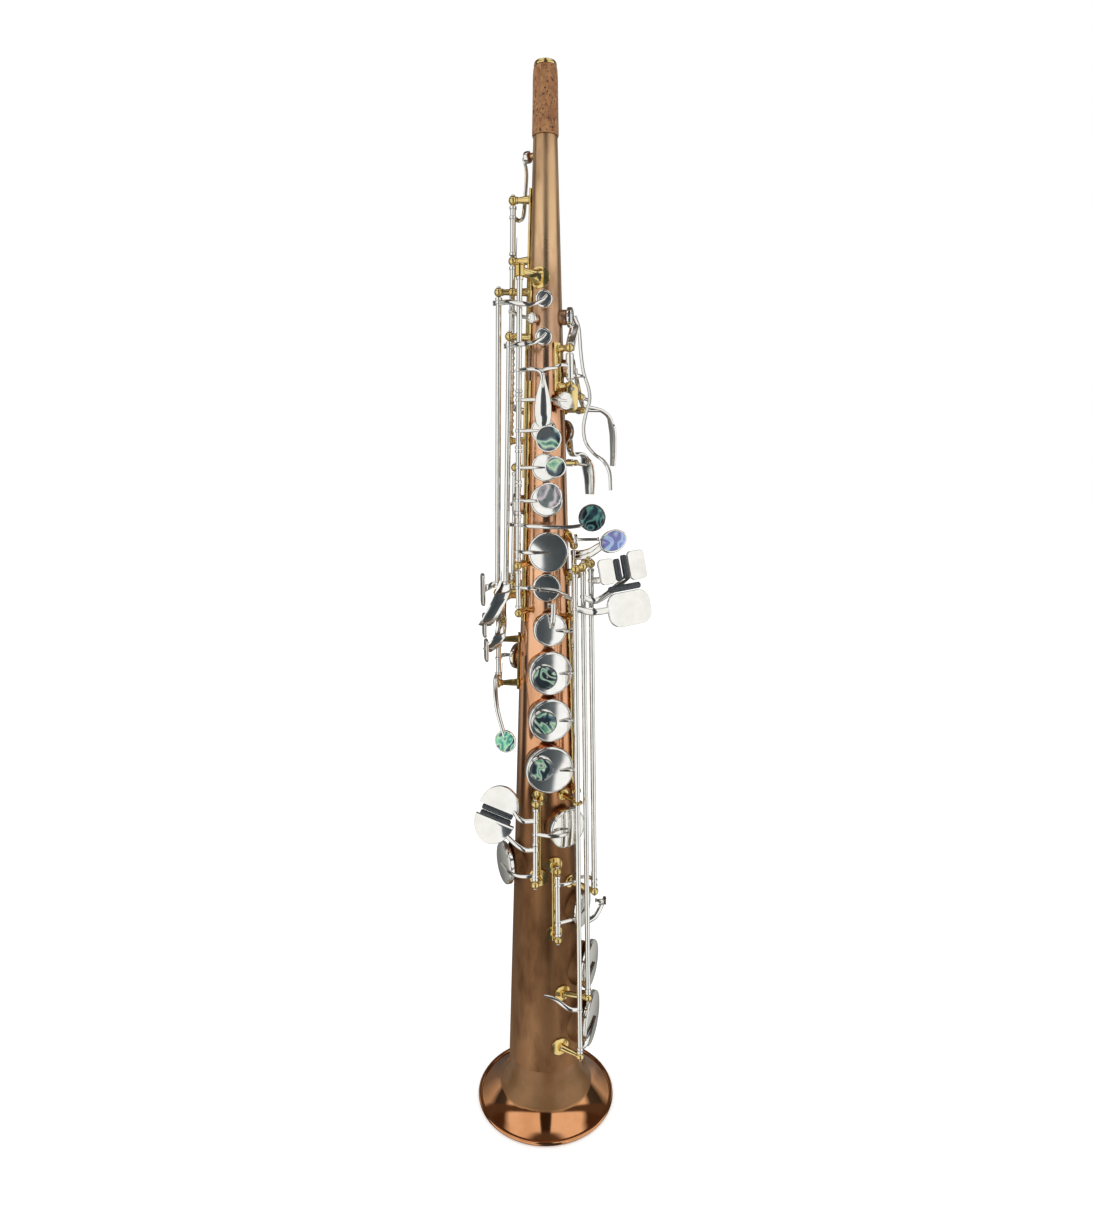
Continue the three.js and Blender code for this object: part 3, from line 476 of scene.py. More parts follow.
def rod(shape, start, end, radius, endRadius=None, steps=20, edge=0.25):
    tip = radius if endRadius is None else endRadius
    length = (end - start).length
    profile = [(0, 0), (radius - edge, 0), (radius, edge), (tip, length - edge), (tip - edge, length),
        (0, length)]
    lathe(shape, profile, start, end - start, steps)


def ball(shape, centre, radius=keyShape["ball"]):
    place = Matrix.Translation(centre)
    bmesh.ops.create_uvsphere(shape, u_segments=24, v_segments=14, radius=radius, matrix=place)


def smoothPath(points, perSpan=6):
    # a smooth curve through the points
    ends = [points[0] * 2 - points[1], *points, points[-1] * 2 - points[-2]]
    path = []
    for a, b, c, d in zip(ends, ends[1:], ends[2:], ends[3:]):
        for i in range(perSpan):
            t = i / perSpan
            bent = (2 * a - 5 * b + 4 * c - d) * t * t + (3 * b - a - 3 * c + d) * t ** 3
            path.append(0.5 * ((2 * b) + (c - a) * t + bent))
    return path + [points[-1]]


def bar(shape, points, width, thickness, side=up, tip=1.0, root=1.0, boxy=False):
    # a bar swept along a path; its width lies along side, and it may narrow at its root and its tip
    path = smoothPath([Vector(point) for point in points])
    last = len(path) - 1
    frames = []
    for i, point in enumerate(path):
        tangent = path[min(i + 1, last)] - path[max(i - 1, 0)]
        share = i / last
        size = (root + (1 - root) * min(1, share * 4)) * (1 - (1 - tip) * max(0, share * 2 - 1))
        section = Matrix.Diagonal((width * size, thickness * (0.4 + 0.6 * size), 1, 1))
        frames.append(facing(point, tangent, side) @ section)
    old = set(shape.verts)
    bmesh.ops.create_circle(shape, cap_ends=False, segments=barSides, radius=0.5)
    ring = newVerts(shape, old)
    if boxy:  # pushes the round section out towards a flat strip's corners
        for v in ring:
            v.co.x = math.copysign(abs(2 * v.co.x) ** boxPower, v.co.x) / 2
            v.co.y = math.copysign(abs(2 * v.co.y) ** boxPower, v.co.y) / 2
    loop = list({e for v in ring for e in v.link_edges})
    bmesh.ops.transform(shape, matrix=frames[0], verts=ring)
    bmesh.ops.contextual_create(shape, geom=loop)
    for before, after in zip(frames, frames[1:]):
        grown = bmesh.ops.extrude_edge_only(shape, edges=loop)["geom"]
        ring = [g for g in grown if isinstance(g, bmesh.types.BMVert)]
        grownEdges = [g for g in grown if isinstance(g, bmesh.types.BMEdge)]
        loop = [e for e in grownEdges if e.verts[0] in ring and e.verts[1] in ring]
        bmesh.ops.transform(shape, matrix=after @ before.inverted(), verts=ring)
    bmesh.ops.contextual_create(shape, geom=loop)


def bevel(shape, geometry, offset, affect, segments):
    bmesh.ops.bevel(shape, geom=geometry, offset=offset, offset_type="OFFSET", affect=affect,
        segments=segments, profile=0.5, material=-1)


def plate(shape, matrix, width, height, thickness, corner, cut=None, crown=0.35):
    # a rounded plate, or an oval one when corner is None; cut keeps the half on one side of its middle
    old = set(shape.verts)
    if corner is None:
        bmesh.ops.create_circle(shape, cap_ends=True, segments=48, radius=0.5)
    else:
        bmesh.ops.create_grid(shape, x_segments=1, y_segments=1, size=0.5)
    made = newVerts(shape, old)
    bmesh.ops.scale(shape, vec=(width, height, 1), verts=made)
    if corner is not None:
        bevel(shape, made, corner, "VERTICES", 8)
        made = newVerts(shape, old)
    if cut:
        edges = list({e for v in made for e in v.link_edges})
        geometry = made + edges + list({f for v in made for f in v.link_faces})
        bmesh.ops.bisect_plane(shape, geom=geometry, plane_co=(0, 0, 0), plane_no=(0, -cut, 0),
            clear_outer=True)
        made = newVerts(shape, old)
    faces = list({f for v in made for f in v.link_faces})
    raised = bmesh.ops.extrude_face_region(shape, geom=faces)["geom"]
    top = [g for g in raised if isinstance(g, bmesh.types.BMVert)]
    bmesh.ops.translate(shape, vec=(0, 0, thickness), verts=top)
    made = newVerts(shape, old)
    bmesh.ops.translate(shape, vec=(0, 0, -thickness / 2), verts=made)
    topFaces = [g for g in raised if isinstance(g, bmesh.types.BMFace)]
    rims = list({e for f in topFaces + faces for e in f.edges})
    bevel(shape, rims, crown, "EDGES", 3)
    bmesh.ops.transform(shape, matrix=matrix, verts=newVerts(shape, old))


def finishPiece(name, shape, finish, body, nodes=()):
    bmesh.ops.recalc_face_normals(shape, faces=shape.faces)
    bmesh.ops.scale(shape, vec=(millimetre, millimetre, millimetre), verts=shape.verts)
    mesh = bpy.data.meshes.new(name)
    shape.to_mesh(mesh)
    shape.free()
    for polygon in mesh.polygons:
        polygon.use_smooth = True
    mesh.set_sharp_from_angle(angle=math.radians(smoothAngle))
    piece = bpy.data.objects.new(name, mesh)
    bpy.context.scene.collection.objects.link(piece)
    material, slotName = finishes[finish]
    mesh.materials.append(material)
    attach(piece, body)
    if nodes:
        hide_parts(*nodes)


# The tube, its tone holes, the bell and the tip

bellShape = {"radius": 46.8, "bead": 1.5, "power": 3.2, "spans": 16}
tubeRings = [120, 200, 280, 360, 440, 520, 580]
boreRings = [480, 320, 160]
tipSteps = 64
# Profiles as (radius, height)
corkProfile = [(7.3, 612.6), (7.5, 613.4), (7.3, 622), (6.95, 642), (6.7, 646), (6.35, 647.6), (5.9, 647.7),
    (5.9, 640)]
tipProfile = [(5.85, 645), (5.85, 647.8), (6.3, 647.9), (6.35, 648.6), (6.2, 649.5), (5.9, 650), (5.5, 650),
    (5.2, 649.6), (5.2, 645), (5.85, 645)]


def buildChimney(shape, z, azimuth, radius):
    # a drawn tone hole, from inside the tube's wall to its rolled rim
    outer = radius - 1.3
    inner = outer - 0.9
    sag = tubeRadius(z) * (1 - math.cos(min(1.2, outer / tubeRadius(z))))
    start = at(z, azimuth, -min(6, sag) - 1)
    depth = (at(z, azimuth, keyShape["chimney"]) - start).length
    profile = [(outer, 0), (outer, depth - 0.4), (outer - 0.25, depth), (outer - 0.65, depth),
        (inner, depth - 0.3), (inner, 0), (outer, 0)]
    lathe(shape, profile, start, outward(azimuth), 48)


def buildTube():
    shape = bmesh.new()
    low, top, wall = tubeShape["flareHeight"], tubeShape["length"], tubeShape["wall"]
    foot = tubeShape["corkFoot"] - 0.3
    outer = [(tubeRadius(z), z) for z in (low, *tubeRings, foot)]
    outer += [(tubeRadius(foot) - 0.2, foot), (tubeRadius(top) - 0.2, top)]
    inner = [(tubeRadius(z) - wall, z) for z in (top, *boreRings, low)]
    lathe(shape, [*outer, *inner, outer[0]], steps=96)
    for z, azimuth, radius, _ in tones.values():
        buildChimney(shape, z, azimuth, radius)
    finishPiece("bodyTube", shape, "tube", "horn", ["body_tube"])

    shape = bmesh.new()
    seat = bellShape["radius"] - 2
    neck = tubeRadius(low)
    outside, inside = [], []
    for i in range(bellShape["spans"] + 1):
        t = i / bellShape["spans"]
        radius = neck + (seat - neck) * t ** bellShape["power"]
        z = (low - 0.05) * (1 - t) + 2 * t
        outside.append((radius, z))
        inside.insert(0, (radius - wall, z - 0.8 * t))
    lathe(shape, [*outside, *inside, outside[0]], steps=128)
    bead, middle = bellShape["bead"], bellShape["radius"] - bellShape["bead"]
    turns = [i * math.pi / 10 for i in range(21)]
    lathe(shape, [(middle + bead * math.sin(a), bead - bead * math.cos(a)) for a in turns], steps=128)
    finishPiece("bellFlare", shape, "bell", "horn", ["bell"])

    shape = bmesh.new()
    corkEnd = (tubeRadius(foot) + 0.15, tubeShape["corkFoot"])
    lathe(shape, [corkEnd, *corkProfile, corkEnd], steps=tipSteps)
    finishPiece("tenonCork", shape, "cork", "horn", ["mouthpiece_cork"])
    shape = bmesh.new()
    lathe(shape, tipProfile, steps=tipSteps)
    finishPiece("tipRing", shape, "brass", "horn", ["neck_ring"])


buildTube()
print("tube, bell and tip ready")

# Posts, ribs and feet


def foot(shape, z, azimuth, radius=4.4):
    # a round foot hammered to the tube's curve
    rings = [0, radius * 0.3, radius * 0.6, radius * 0.85, radius]
    crown = [(r * 0.96, 0.9 + 0.1 * (1 - r / radius)) for r in reversed(rings)]
    made = lathe(shape, [*[(r, 0) for r in rings], (radius, 0.5), *crown], steps=40)
    reach = tubeRadius(z)
    for v in made:  # bends the disc over the tube
        angle = v.co.x / reach
        v.co = vec((reach + v.co.z) * math.sin(angle), v.co.y, (reach + v.co.z) * math.cos(angle) - reach)
    place = facing(at(z, azimuth, 0.1), outward(azimuth), around(azimuth))
    bmesh.ops.transform(shape, matrix=place, verts=made)


def rib(shape, low, high, azimuth, width):
    path = [at(z, azimuth, 0.75) for z in (low, (low + high) / 2, high)]
    bar(shape, path, width, 1.4, around(azimuth), boxy=True)


def post(shape, top, footZ=None, footAzimuth=None):
    z = top.z if footZ is None else footZ
    azimuth = azimuthOf(top) if footAzimuth is None else footAzimuth
    base = at(z, azimuth, footHeight)
    way = (top - base).normalized()
    length = (top - base).length - keyShape["ball"] * 0.7
    ball(shape, top)
    lathe(shape, [(0, 0), (2.9, 0), (2.8, 0.5), (2.3, 0.9), (2.05, length * 0.4), (1.6, length - 1.6),
        (1.6, length - 1.1), (2.0, length - 0.8), (2.0, length - 0.2), (1.6, length + 0.2),
        (0, length + 0.2)], base, way, 24)


def ends(shape, name):
    # pivot screws: small heads on the outer poles of a rod's two balls
    low, high = rods[name]
    way = (high - low).normalized()
    for centre, turn in ((low, -way), (high, way)):
        lathe(shape, screwProfile, centre + turn * (keyShape["ball"] - 0.35), turn, 18)


screwProfile = [(0, 0), (1.15, 0), (1.15, 0.5), (0.9, 0.75), (0, 0.75)]
sharedEnds = ("octaveLow", "gSharp", "lowerStack", "upperStack")  # rods whose ends meet another rod
# Each piece: its node, then its ribs (low, high, azimuth, width), feet (z, azimuth, radius) and posts
# (rod, end, z and azimuth of its foot)
posts = {
    "octaveRib": ("octave_rib", [("rib", 424, 586, 172, 4), ("post", "octaveHigh", 1),
        ("post", "octaveHigh", 0), ("post", "octaveLow", 0)]),
    "upperStackRib": ("upper_stack_rib", [("rib", 338, 480, -147, 4), ("post", "upperStack", 0, 373.2,
        -147), ("post", "gSharp", 0, 344.6, -147)]),
    "sideRibUpper": ("side_rib_upper", [("rib", 498, 535, -152, 4), ("post", "highE", 1, 529.4, -155),
        ("bead", "highE", 1, 529.4, -155), ("post", "sideC", 1, 504.4, -154), ("bead", "sideC", 1, 504.4,
        -154)]),
    "sideRibLower": ("side_rib_lower", [("rib", 348, 362, -172, 8), ("post", "highE", 0, 355.2, -170),
        ("post", "sideC", 0, 353.6, -163)]),
    "sideBbRib": ("side_bb_rib", [("rib", 353, 434, 144, 4), ("post", "sideBFlat", 0), ("post", "sideBFlat",
        1)]),
    "altFSharpRib": ("alt_fsharp_rib", [("rib", 293, 329, -174, 4), ("post", "altFSharp", 0),
        ("post", "altFSharp", 1)]),
    "lowerStackRib": ("lower_stack_rib", [("rib", 226, 350, -24, 4), ("post", "lowerStack", 0, 231, -25),
        ("post", "lowerStack", 1, 340.5, -25)]),
    "gSharpLeverPost": ("gsharp_lever_post", [("foot", 390, -20, 3.4), ("post", "gSharpLever", 1, 390, -20)]),
    "rockerPosts": ("rocker_posts", [("rib", 474, 501, -54, 5), ("post", "rocker", 0), ("post", "rocker",
        1)]),
    "lowBbPost": ("low_bb_post", [("foot", 54, -67, 6), ("post", "lowBFlat", 0, 54, -67)]),
    "lowBPost": ("low_b_post", [("foot", 92, -62, 5.4), ("post", "lowB", 0, 92, -62)]),
    "cSharpLeverPost": ("csharp_lever_post", [("foot", 168, -42, 4.2), ("post", "cSharpLever", 0, 168, -42)]),
    "lowCSharpPosts": ("low_csharp_posts", [("foot", 135.6, -75, 5.4), ("foot", 182.2, -75, 5.4),
        ("rib", 131, 187, -75, 3.4), ("post", "cSharp", 0), ("post", "cSharp", 1)]),
    "pinkyPosts": ("pinky_posts", [("foot", 174, -102.5, 6), ("foot", 227, -102.5, 5), ("rib", 170, 231,
        -102.5, 3.4), ("post", "pinky", 0), ("post", "pinky", 1)]),
}


def buildPosts():
    for name, (node, steps) in posts.items():
        shape = bmesh.new()
        for step in steps:
            if step[0] == "rib":
                rib(shape, *step[1:])
            elif step[0] == "foot":
                foot(shape, *step[1:])
            elif step[0] == "bead":  # a turned ball half way along a long post
                ball(shape, rods[step[1]][step[2]].lerp(at(*step[3:], footHeight), 0.44), 2.5)
            else:
                post(shape, rods[step[1]][step[2]], *step[3:])
        finishPiece(name, shape, "brass", "horn", [node])
    # the front post at the head of the stack, with its arm wrapping from a round foot
    shape = bmesh.new()
    top = rods["upperStack"][1]
    ball(shape, top, 2.9)
    rod(shape, top - up * 3.2, top + up * 2.6, 3.0)
    rod(shape, top + up * 2.6, top + up * 3.4, 3.4)
    base = at(536.6, -112, 0.5)
    way = top - base
    lathe(shape, [(0, 0), (4.8, 0), (4.7, 1.2), (3.6, 2.8), (2.6, way.length * 0.55), (2.5, way.length)],
        base, way, 32)
    foot(shape, 536.5, -111, 6)
    finishPiece("stackTopPost", shape, "brass", "horn", ["stack_top_post"])
    # the bracket that carries the heads of the three long rods
    shape = bmesh.new()
    heads = [rods[name][1] for name in ("lowBFlat", "lowB", "cSharpLever")]
    foot(shape, 364, -12, 5.4)
    rod(shape, at(364, -12, 0.6), at(365, -13, 5), 2.2)
    bar(shape, [at(364, -12, 2.6), at(368, -18, 9), at(377, -31, 13), heads[2]], 4, 3.6)
    bar(shape, heads, 3.4, 3)
    for head in heads:
        ball(shape, head)
    finishPiece("tableBracket", shape, "brass", "horn", ["table_bracket"])
    shape = bmesh.new()
    for name in rods:
        if name not in sharedEnds:
            ends(shape, name)
    finishPiece("pivotScrews", shape, "silver", "horn")


buildPosts()
print("posts ready")

# Keys


def turnFor(rodName, tone, distance):
    # degrees that lift a cup's middle by a distance
    low, high = rods[rodName]
    axis = (high - low).normalized()
    z, azimuth = tones[tone][:2]
    swing = axis.cross(crownPoint(tone) - onRod(rodName, z)).dot(outward(azimuth))
    return math.degrees(math.copysign(math.asin(distance / abs(swing)), swing))


def turnAbout(shape, rodName, degrees):
    low, high = rods[rodName]
    turn = Matrix.Rotation(math.radians(degrees), 3, (high - low).normalized())
    bmesh.ops.rotate(shape, cent=low, matrix=turn, verts=shape.verts)


def cup(shape, tone):
    z, azimuth, r, _ = tones[tone]
    d = keyShape["cupDepth"]
    base = at(z, azimuth, seatHeight)
    profile = [(0, 1.7), (r - 0.7, 1.7), (r - 0.7, 0.5), (r - 0.3, 0.35), (r, 0.6), (r, d - 1.9),
        (r - 0.15, d - 1.4), (r - 0.6, d - 1.05), (r - 1.0, d - 1.0), (r - 1.15, d - 1.12),
        (r - 1.35, d - 0.85)]
    crown = d - 0.85 + 0.032 * r
    profile += [((r - 1.4) * f, crown - 0.032 * r * f * f) for f in (0.98, 0.85, 0.7, 0.55, 0.4, 0.25, 0.1,
        0)]
    lathe(shape, profile, base, outward(azimuth), 64 if r > 6 else 36)


def pad(shape, tone):
    z, azimuth, r, _ = tones[tone]
    base = at(z, azimuth, seatHeight)
    r -= 0.75
    profile = [(0, 0.1), (r * 0.7, 0.05), (r * 0.82, 0.25), (r * 0.9, 0.05), (r - 0.15, 0.1), (r, 0.5),
        (r, 1.6), (0, 1.6)]
    lathe(shape, profile, base, outward(azimuth), 48 if r > 6 else 28)


def bezel(shape, centre, radius, face):
    profile = [(0, -1.3), (radius * 0.5, -1.3), (radius - 0.5, -0.8), (radius, -0.1), (radius, 0.9),
        (radius - 0.25, 1.2), (radius - 0.6, 1.2), (radius - 0.85, 0.9), (radius - 0.85, 0.3),
        (0, 0.3)]
    lathe(shape, profile, centre, face, 48)


def shell(shape, centre, radius, face):
    r = radius - 0.9
    profile = [(0, 0.35), (r, 0.35), (r, 1.0), (r - 0.5, 1.3), (r * 0.6, 1.12), (0, 1.0)]
    lathe(shape, profile, centre, face, 48)


def hinge(shape, rodName, low, high, collars=()):
    radius = keyShape["rod"]
    start, end = rods[rodName]
    half = (end - start).normalized() * 0.9
    rod(shape, onRod(rodName, low), onRod(rodName, high), radius, steps=24, edge=0.2)
    for z in (low + 0.9, high - 0.9, *collars):
        rod(shape, onRod(rodName, z) - half, onRod(rodName, z) + half, radius + 0.45, steps=24)


def cupArm(rodName, tone, rodHeight=None, reach=1.0):
    # a path from a rod over a cup's edge towards the middle of its crown
    z, azimuth, r, _ = tones[tone]
    start = onRod(rodName, rodHeight or z)
    across = around(azimuth)
    side = math.copysign(1, (start - crownPoint(tone)).dot(across))
    edge = crownPoint(tone, 0.3) + across * side * r * 0.95
    edge.z += (start.z - z) * 0.6
    tip = crownPoint(tone, 0.15) - across * side * 1.5
    return [start, edge, edge.lerp(tip, reach) + outward(azimuth) * 0.1]


def stackPearl(tone, x, z):
    return vec(x, crownPoint(tone, 3.0).y, z)


def spotOn(centre, across, face):
    # two functions that place a point, or a frame, on a tilted face, and the face's two ways
    across, face = across.normalized(), face.normalized()
    upwards = face.cross(across).normalized()

    def spot(u, v, raised=0.0):
        return centre + across * u + upwards * v + face * raised

    def frameAt(u, v, raised=0.0):
        return Matrix.Translation(spot(u, v, raised)) @ Matrix((across, upwards, face)).transposed().to_4x4()

    return spot, frameAt, across, upwards


tableSpot, tableFrame, tableAcross, tableUp = spotOn(vec(45, -27, 366), vec(0.93, 0.32, 0.12),
    vec(0.3, -0.93, 0.2))
pinkySpot, pinkyFrame, pinkyAcross, _ = spotOn(vec(-30, -27, 220), vec(0.93, -0.18, -0.32), vec(-0.3, -0.93,
    0.1))
gTouchSpot, gTouchFrame, *_ = spotOn(vec(39.4, -24, 388.4), vec(0.86, 0.3, 0.38), vec(0.3, -0.9, 0.22))
sideWay = vec(1, 0.15, 0)

# Each key: its node, its rod and the stretch of the hinge tube, the cup it carries, then its arms, drawn
# with the key shut, its arms and plates drawn at rest, and its pearls as (centre, radius, face).
# An arm is (path, width, thickness, side, tip).
front = vec(0, -1, 0)
keys = {
    "octaveVentHigh": dict(node="octave_vent_high", rod="octaveHigh", span=(547.6 + beside, 580.2 - beside),
        cups=["octaveHigh"], arms=[
        ([onRod("octaveHigh", 571), (-14.8, 6, 570.6), (-12.6, 7, 573.6), (-11.6, 7.2, 584),
            (-10.8, 7, 596), crownPoint("octaveHigh")], 3.2, 1.8, (0.6, 1, 0.5), 0.8)]),
    "octaveVentLow": dict(node="octave_vent_low", rod="octaveLow", span=(503.4, 547.6 - beside),
        cups=["octaveLow"], arms=[
        ([onRod("octaveLow", 520), at(517, -166, 6.4), at(515, -142, 5.4), crownPoint("octaveLow")], 2.2,
            1.6, up, 0.8)]),
    "octaveThumbLever": dict(node="octave_thumb_lever", rod="octaveLow", span=(446 + beside, 503), cups=[],
        arms=[
        ([onRod("octaveLow", 468), at(466, 152, 10.5), at(464, 130, 10), at(462, 112, 9)], 4, 1.8, up, 1)],
        collars=[450.5 + 3.6 * i for i in range(14)]),
    "highEKey": dict(node="high_e_key", rod="highE", span=(355.2 + beside, 529.4 - beside), cups=["highE"],
        arms=[
        ([onRod("highE", 523.6) + vec(-3.4, 1, 0), onRod("highE", 523.6), (-20.6, -13.6, 522.4),
            (-14, -18.3, 520.8), (-7, -18.5, 520.4), crownPoint("highE", 0.5) + vec(-1, 0, -1),
            crownPoint("highE", 0.5) + vec(1.8, 0, 1.8)], 2.8, 1.9, up, 0.4),
        ([onRod("highE", 361), (-34.6, -8.6, 359), (-38.2, -7, 357)], 4, 1.6, up, 1)]),
    "sideCKey": dict(node="side_c_key", rod="sideC", span=(353.6 + beside, 504.4 - beside), cups=["sideC"],
        arms=[
        ([onRod("sideC", 499.2) + vec(-3.2, 1, 0), onRod("sideC", 499.2), (-14, -18.9, 499),
            (-7, -19, 499.6), crownPoint("sideC", 0.5) + vec(-1, 0, -1), crownPoint("sideC", 0.5) + vec(1.8,
            0, 1.8)], 2.8, 1.9, up, 0.4),
        ([onRod("sideC", 362), (-26.5, -16.8, 355), (-31, -17.6, 346), (-35, -16, 339), (-37, -12.4, 336)],
            8.4, 1.4, sideWay, 1)]),
    "sideBFlatKey": dict(node="side_bb_key", rod="sideBFlat", span=(357 + beside, 430 - beside),
        cups=["sideBFlat"], arms=[
        (cupArm("sideBFlat", "sideBFlat"), 2.6, 1.8, up, 0.5),
        ([onRod("sideBFlat", 363), (-27, 12, 352), (-28, 5, 343), (-27.4, -3, 335), (-28.4, -8, 327.6),
            (-33, -7, 321.6), (-36.4, -5, 318.4)], 6.8, 1.4, sideWay, 1)]),
    "altFSharpKey": dict(node="alt_fsharp_key", rod="altFSharp", span=(297 + beside, 325 - beside),
        cups=["altFSharp"], arms=[
        ([onRod("altFSharp", 313), (-26.6, 5, 313), crownPoint("altFSharp", 0.2)], 2.8, 2, up, 0.5),
        ([onRod("altFSharp", 303), (-31, -9, 300), (-30, -16.6, 286), (-26, -21.6, 272),
            (-24.4, -22, 266.6)], 3, 2, sideWay, 0.8)],
        shell="tealShell", pearls=[(vec(-24.4, -22.4, 265.6), 7, vec(-0.35, -0.93, 0.08))]),
    "bKey": dict(node="b_key", rod="upperStack", span=(441, 472.2), cups=["b", "cVent"], arms=[
        (cupArm("upperStack", "b"), 2.2, 1.8, up, 0.4),
        ([onRod("upperStack", 468.6), at(468.6, -103, 6.2), at(468.4, -70, 6.6), crownPoint("cVent", -0.3)],
            2.2, 1.7, up, 0.6)],
        pearls=[(stackPearl("b", 3.2, 446.6), 7.5, front)]),
    "bisKey": dict(node="bis_key", rod="upperStack", span=(421.4, 440.6), cups=["bis"],
        arms=[(cupArm("upperStack", "bis"), 2.2, 1.8, up, 0.4)],
        pearls=[(stackPearl("bis", 7.2, 430.8), 6.1, front)]),
    "aKey": dict(node="a_key", rod="upperStack", span=(403.4, 421), cups=["a"],
        arms=[(cupArm("upperStack", "a"), 2.2, 1.8, up, 0.4)],
        shell="roseShell", pearls=[(stackPearl("a", 3.4, 414.6), 7.5, front)]),
    "gKey": dict(node="g_key", rod="upperStack", span=(373.2 + beside, 403), cups=["g"],
        arms=[(cupArm("upperStack", "g"), 2.4, 2, up, 0.35)], rest=[
        ([(-21, -16.6, 397.4), onRod("upperStack", 397.4), (-9, -28, 397.4), (8, -30.6, 397),
            (18, -30.6, 397.6), (22.6, -30, 399)], 2.4, 1.8, up, 0.9)],
        shell="darkShell", restPearls=[(vec(26.6, -30, 402.4), 7.8, front)]),
    "gSharpKey": dict(node="gsharp_key", rod="gSharp", span=(344.6 + beside, 373.2 - beside),
        cups=["gSharp"], arms=[
        ([onRod("gSharp", 360.2), (-8.8, -22.6, 360.2), (6, -22.4, 358.6), (13, -20.4, 356)], 2.2, 1.8, up,
            0.7)]),
    "fSharpKey": dict(node="fsharp_key", rod="lowerStack", span=(323.4, 340.5 - beside), cups=["fSharp"],
        arms=[
        (cupArm("lowerStack", "fSharp", 334, 0.6), 2.6, 1.9, up, 0.4),
        ([(2.4, -22, 337), (2.6, -25.2, 342), (2.6, -25.6, 352)], 3, 1.8, (1, 0, 0), 0.8)]),
    "fKey": dict(node="f_key", rod="lowerStack", span=(294.4, 323), cups=["f"],
        arms=[(cupArm("lowerStack", "f", reach=0.55), 2.4, 1.9, up, 0.35)],
        pearls=[(vec(-2, crownPoint("f", 1.0).y, 307.2), 7.5, front)]),
    "eKey": dict(node="e_key", rod="lowerStack", span=(264.2, 294), cups=["e"],
        arms=[(cupArm("lowerStack", "e", reach=0.55), 2.4, 1.9, up, 0.35)],
        pearls=[(vec(-2.2, crownPoint("e", 1.0).y, 279.4), 7.5, front)]),
    "dKey": dict(node="d_key", rod="lowerStack", span=(231 + beside, 263.8), cups=["d"],
        arms=[(cupArm("lowerStack", "d", reach=0.55), 2.6, 2, up, 0.35)],
        pearls=[(vec(-4.2, crownPoint("d", 1.0).y, 250.4), 7.5, front)]),
    "eFlatKey": dict(node="eflat_key", rod="pinky", span=(200, 227 - beside), cups=["eFlat"], arms=[
        ([onRod("pinky", 207.5), (4, -30.4, 207), (12, -28.6, 207.2), crownPoint("eFlat", 0.2)], 2.8, 1.9,
            up, 0.5),
        ([onRod("pinky", 216), (-15, -31.4, 218), pinkySpot(5, 8, -1.2)], 3.2, 1.9, up, 1)],
        plates=[(pinkyFrame(0, 3.9), 25, 30, 2.2, None, 1)]),
    "lowCKey": dict(node="low_c_key", rod="pinky", span=(174 + beside, 199.6), cups=["c"], arms=[
        ([onRod("pinky", 180), at(179, -118, 11), at(178, -138, 9.4), crownPoint("c", 0.2)], 2.8, 1.9, up,
            0.5)], rest=[
        ([onRod("pinky", 197), (-15, -32.4, 200), pinkySpot(4, -9, -1.2)], 3.2, 1.9, up, 1)],
        plates=[(pinkyFrame(0, -3.9), 25, 32, 2.2, None, -1)]),
    "lowCSharpKey": dict(node="low_csharp_key", rod="cSharp", span=(135.6 + beside, 182.2 - beside),
        cups=["cSharp"], arms=[
        ([onRod("cSharp", 147), at(147, -62, 8), at(147, -50, 8.2), crownPoint("cSharp", 0.2)], 2.8, 1.8,
            up, 0.5),
        ([onRod("cSharp", 173), (13, -27, 173), (19.4, -23.2, 173)], 2.6, 1.8, up, 0.8)]),
    "lowBKey": dict(node="low_b_key", rod="lowB", span=(91.4 + beside, 374 - beside), cups=["lowB"], arms=[
        (cupArm("lowB", "lowB", 97), 4.6, 1.9, up, 0.6)], rest=[
        ([onRod("lowB", 356), (29.6, -28.4, 354), (41, -20.4, 360), tableSpot(11, 6, -1.2)], 4, 1.8, up, 1)],
        plates=[(tableFrame(10.4, 7.4), 10.6, 17, 2, 2.6, None)]),
    "lowBFlatKey": dict(node="low_bb_key", rod="lowBFlat", span=(49.6 + beside, 373 - beside),
        cups=["lowBFlat"], arms=[
        (cupArm("lowBFlat", "lowBFlat", 56), 4.8, 2, up, 0.6)], rest=[
        ([onRod("lowBFlat", 349.4), (27, -36.6, 349), (37, -33, 349.6), tableSpot(-5, -15, -1.2)], 4.4, 1.8,
            up, 1),
        ([onRod("lowBFlat", 84), (15, -28.4, 86), (6, -27, 92), (-1, -27.4, 95)], 3.4, 1.6, up, 0.5)],
        plates=[(tableFrame(1, -16.9), 27, 20, 2, 7, None)]),
}


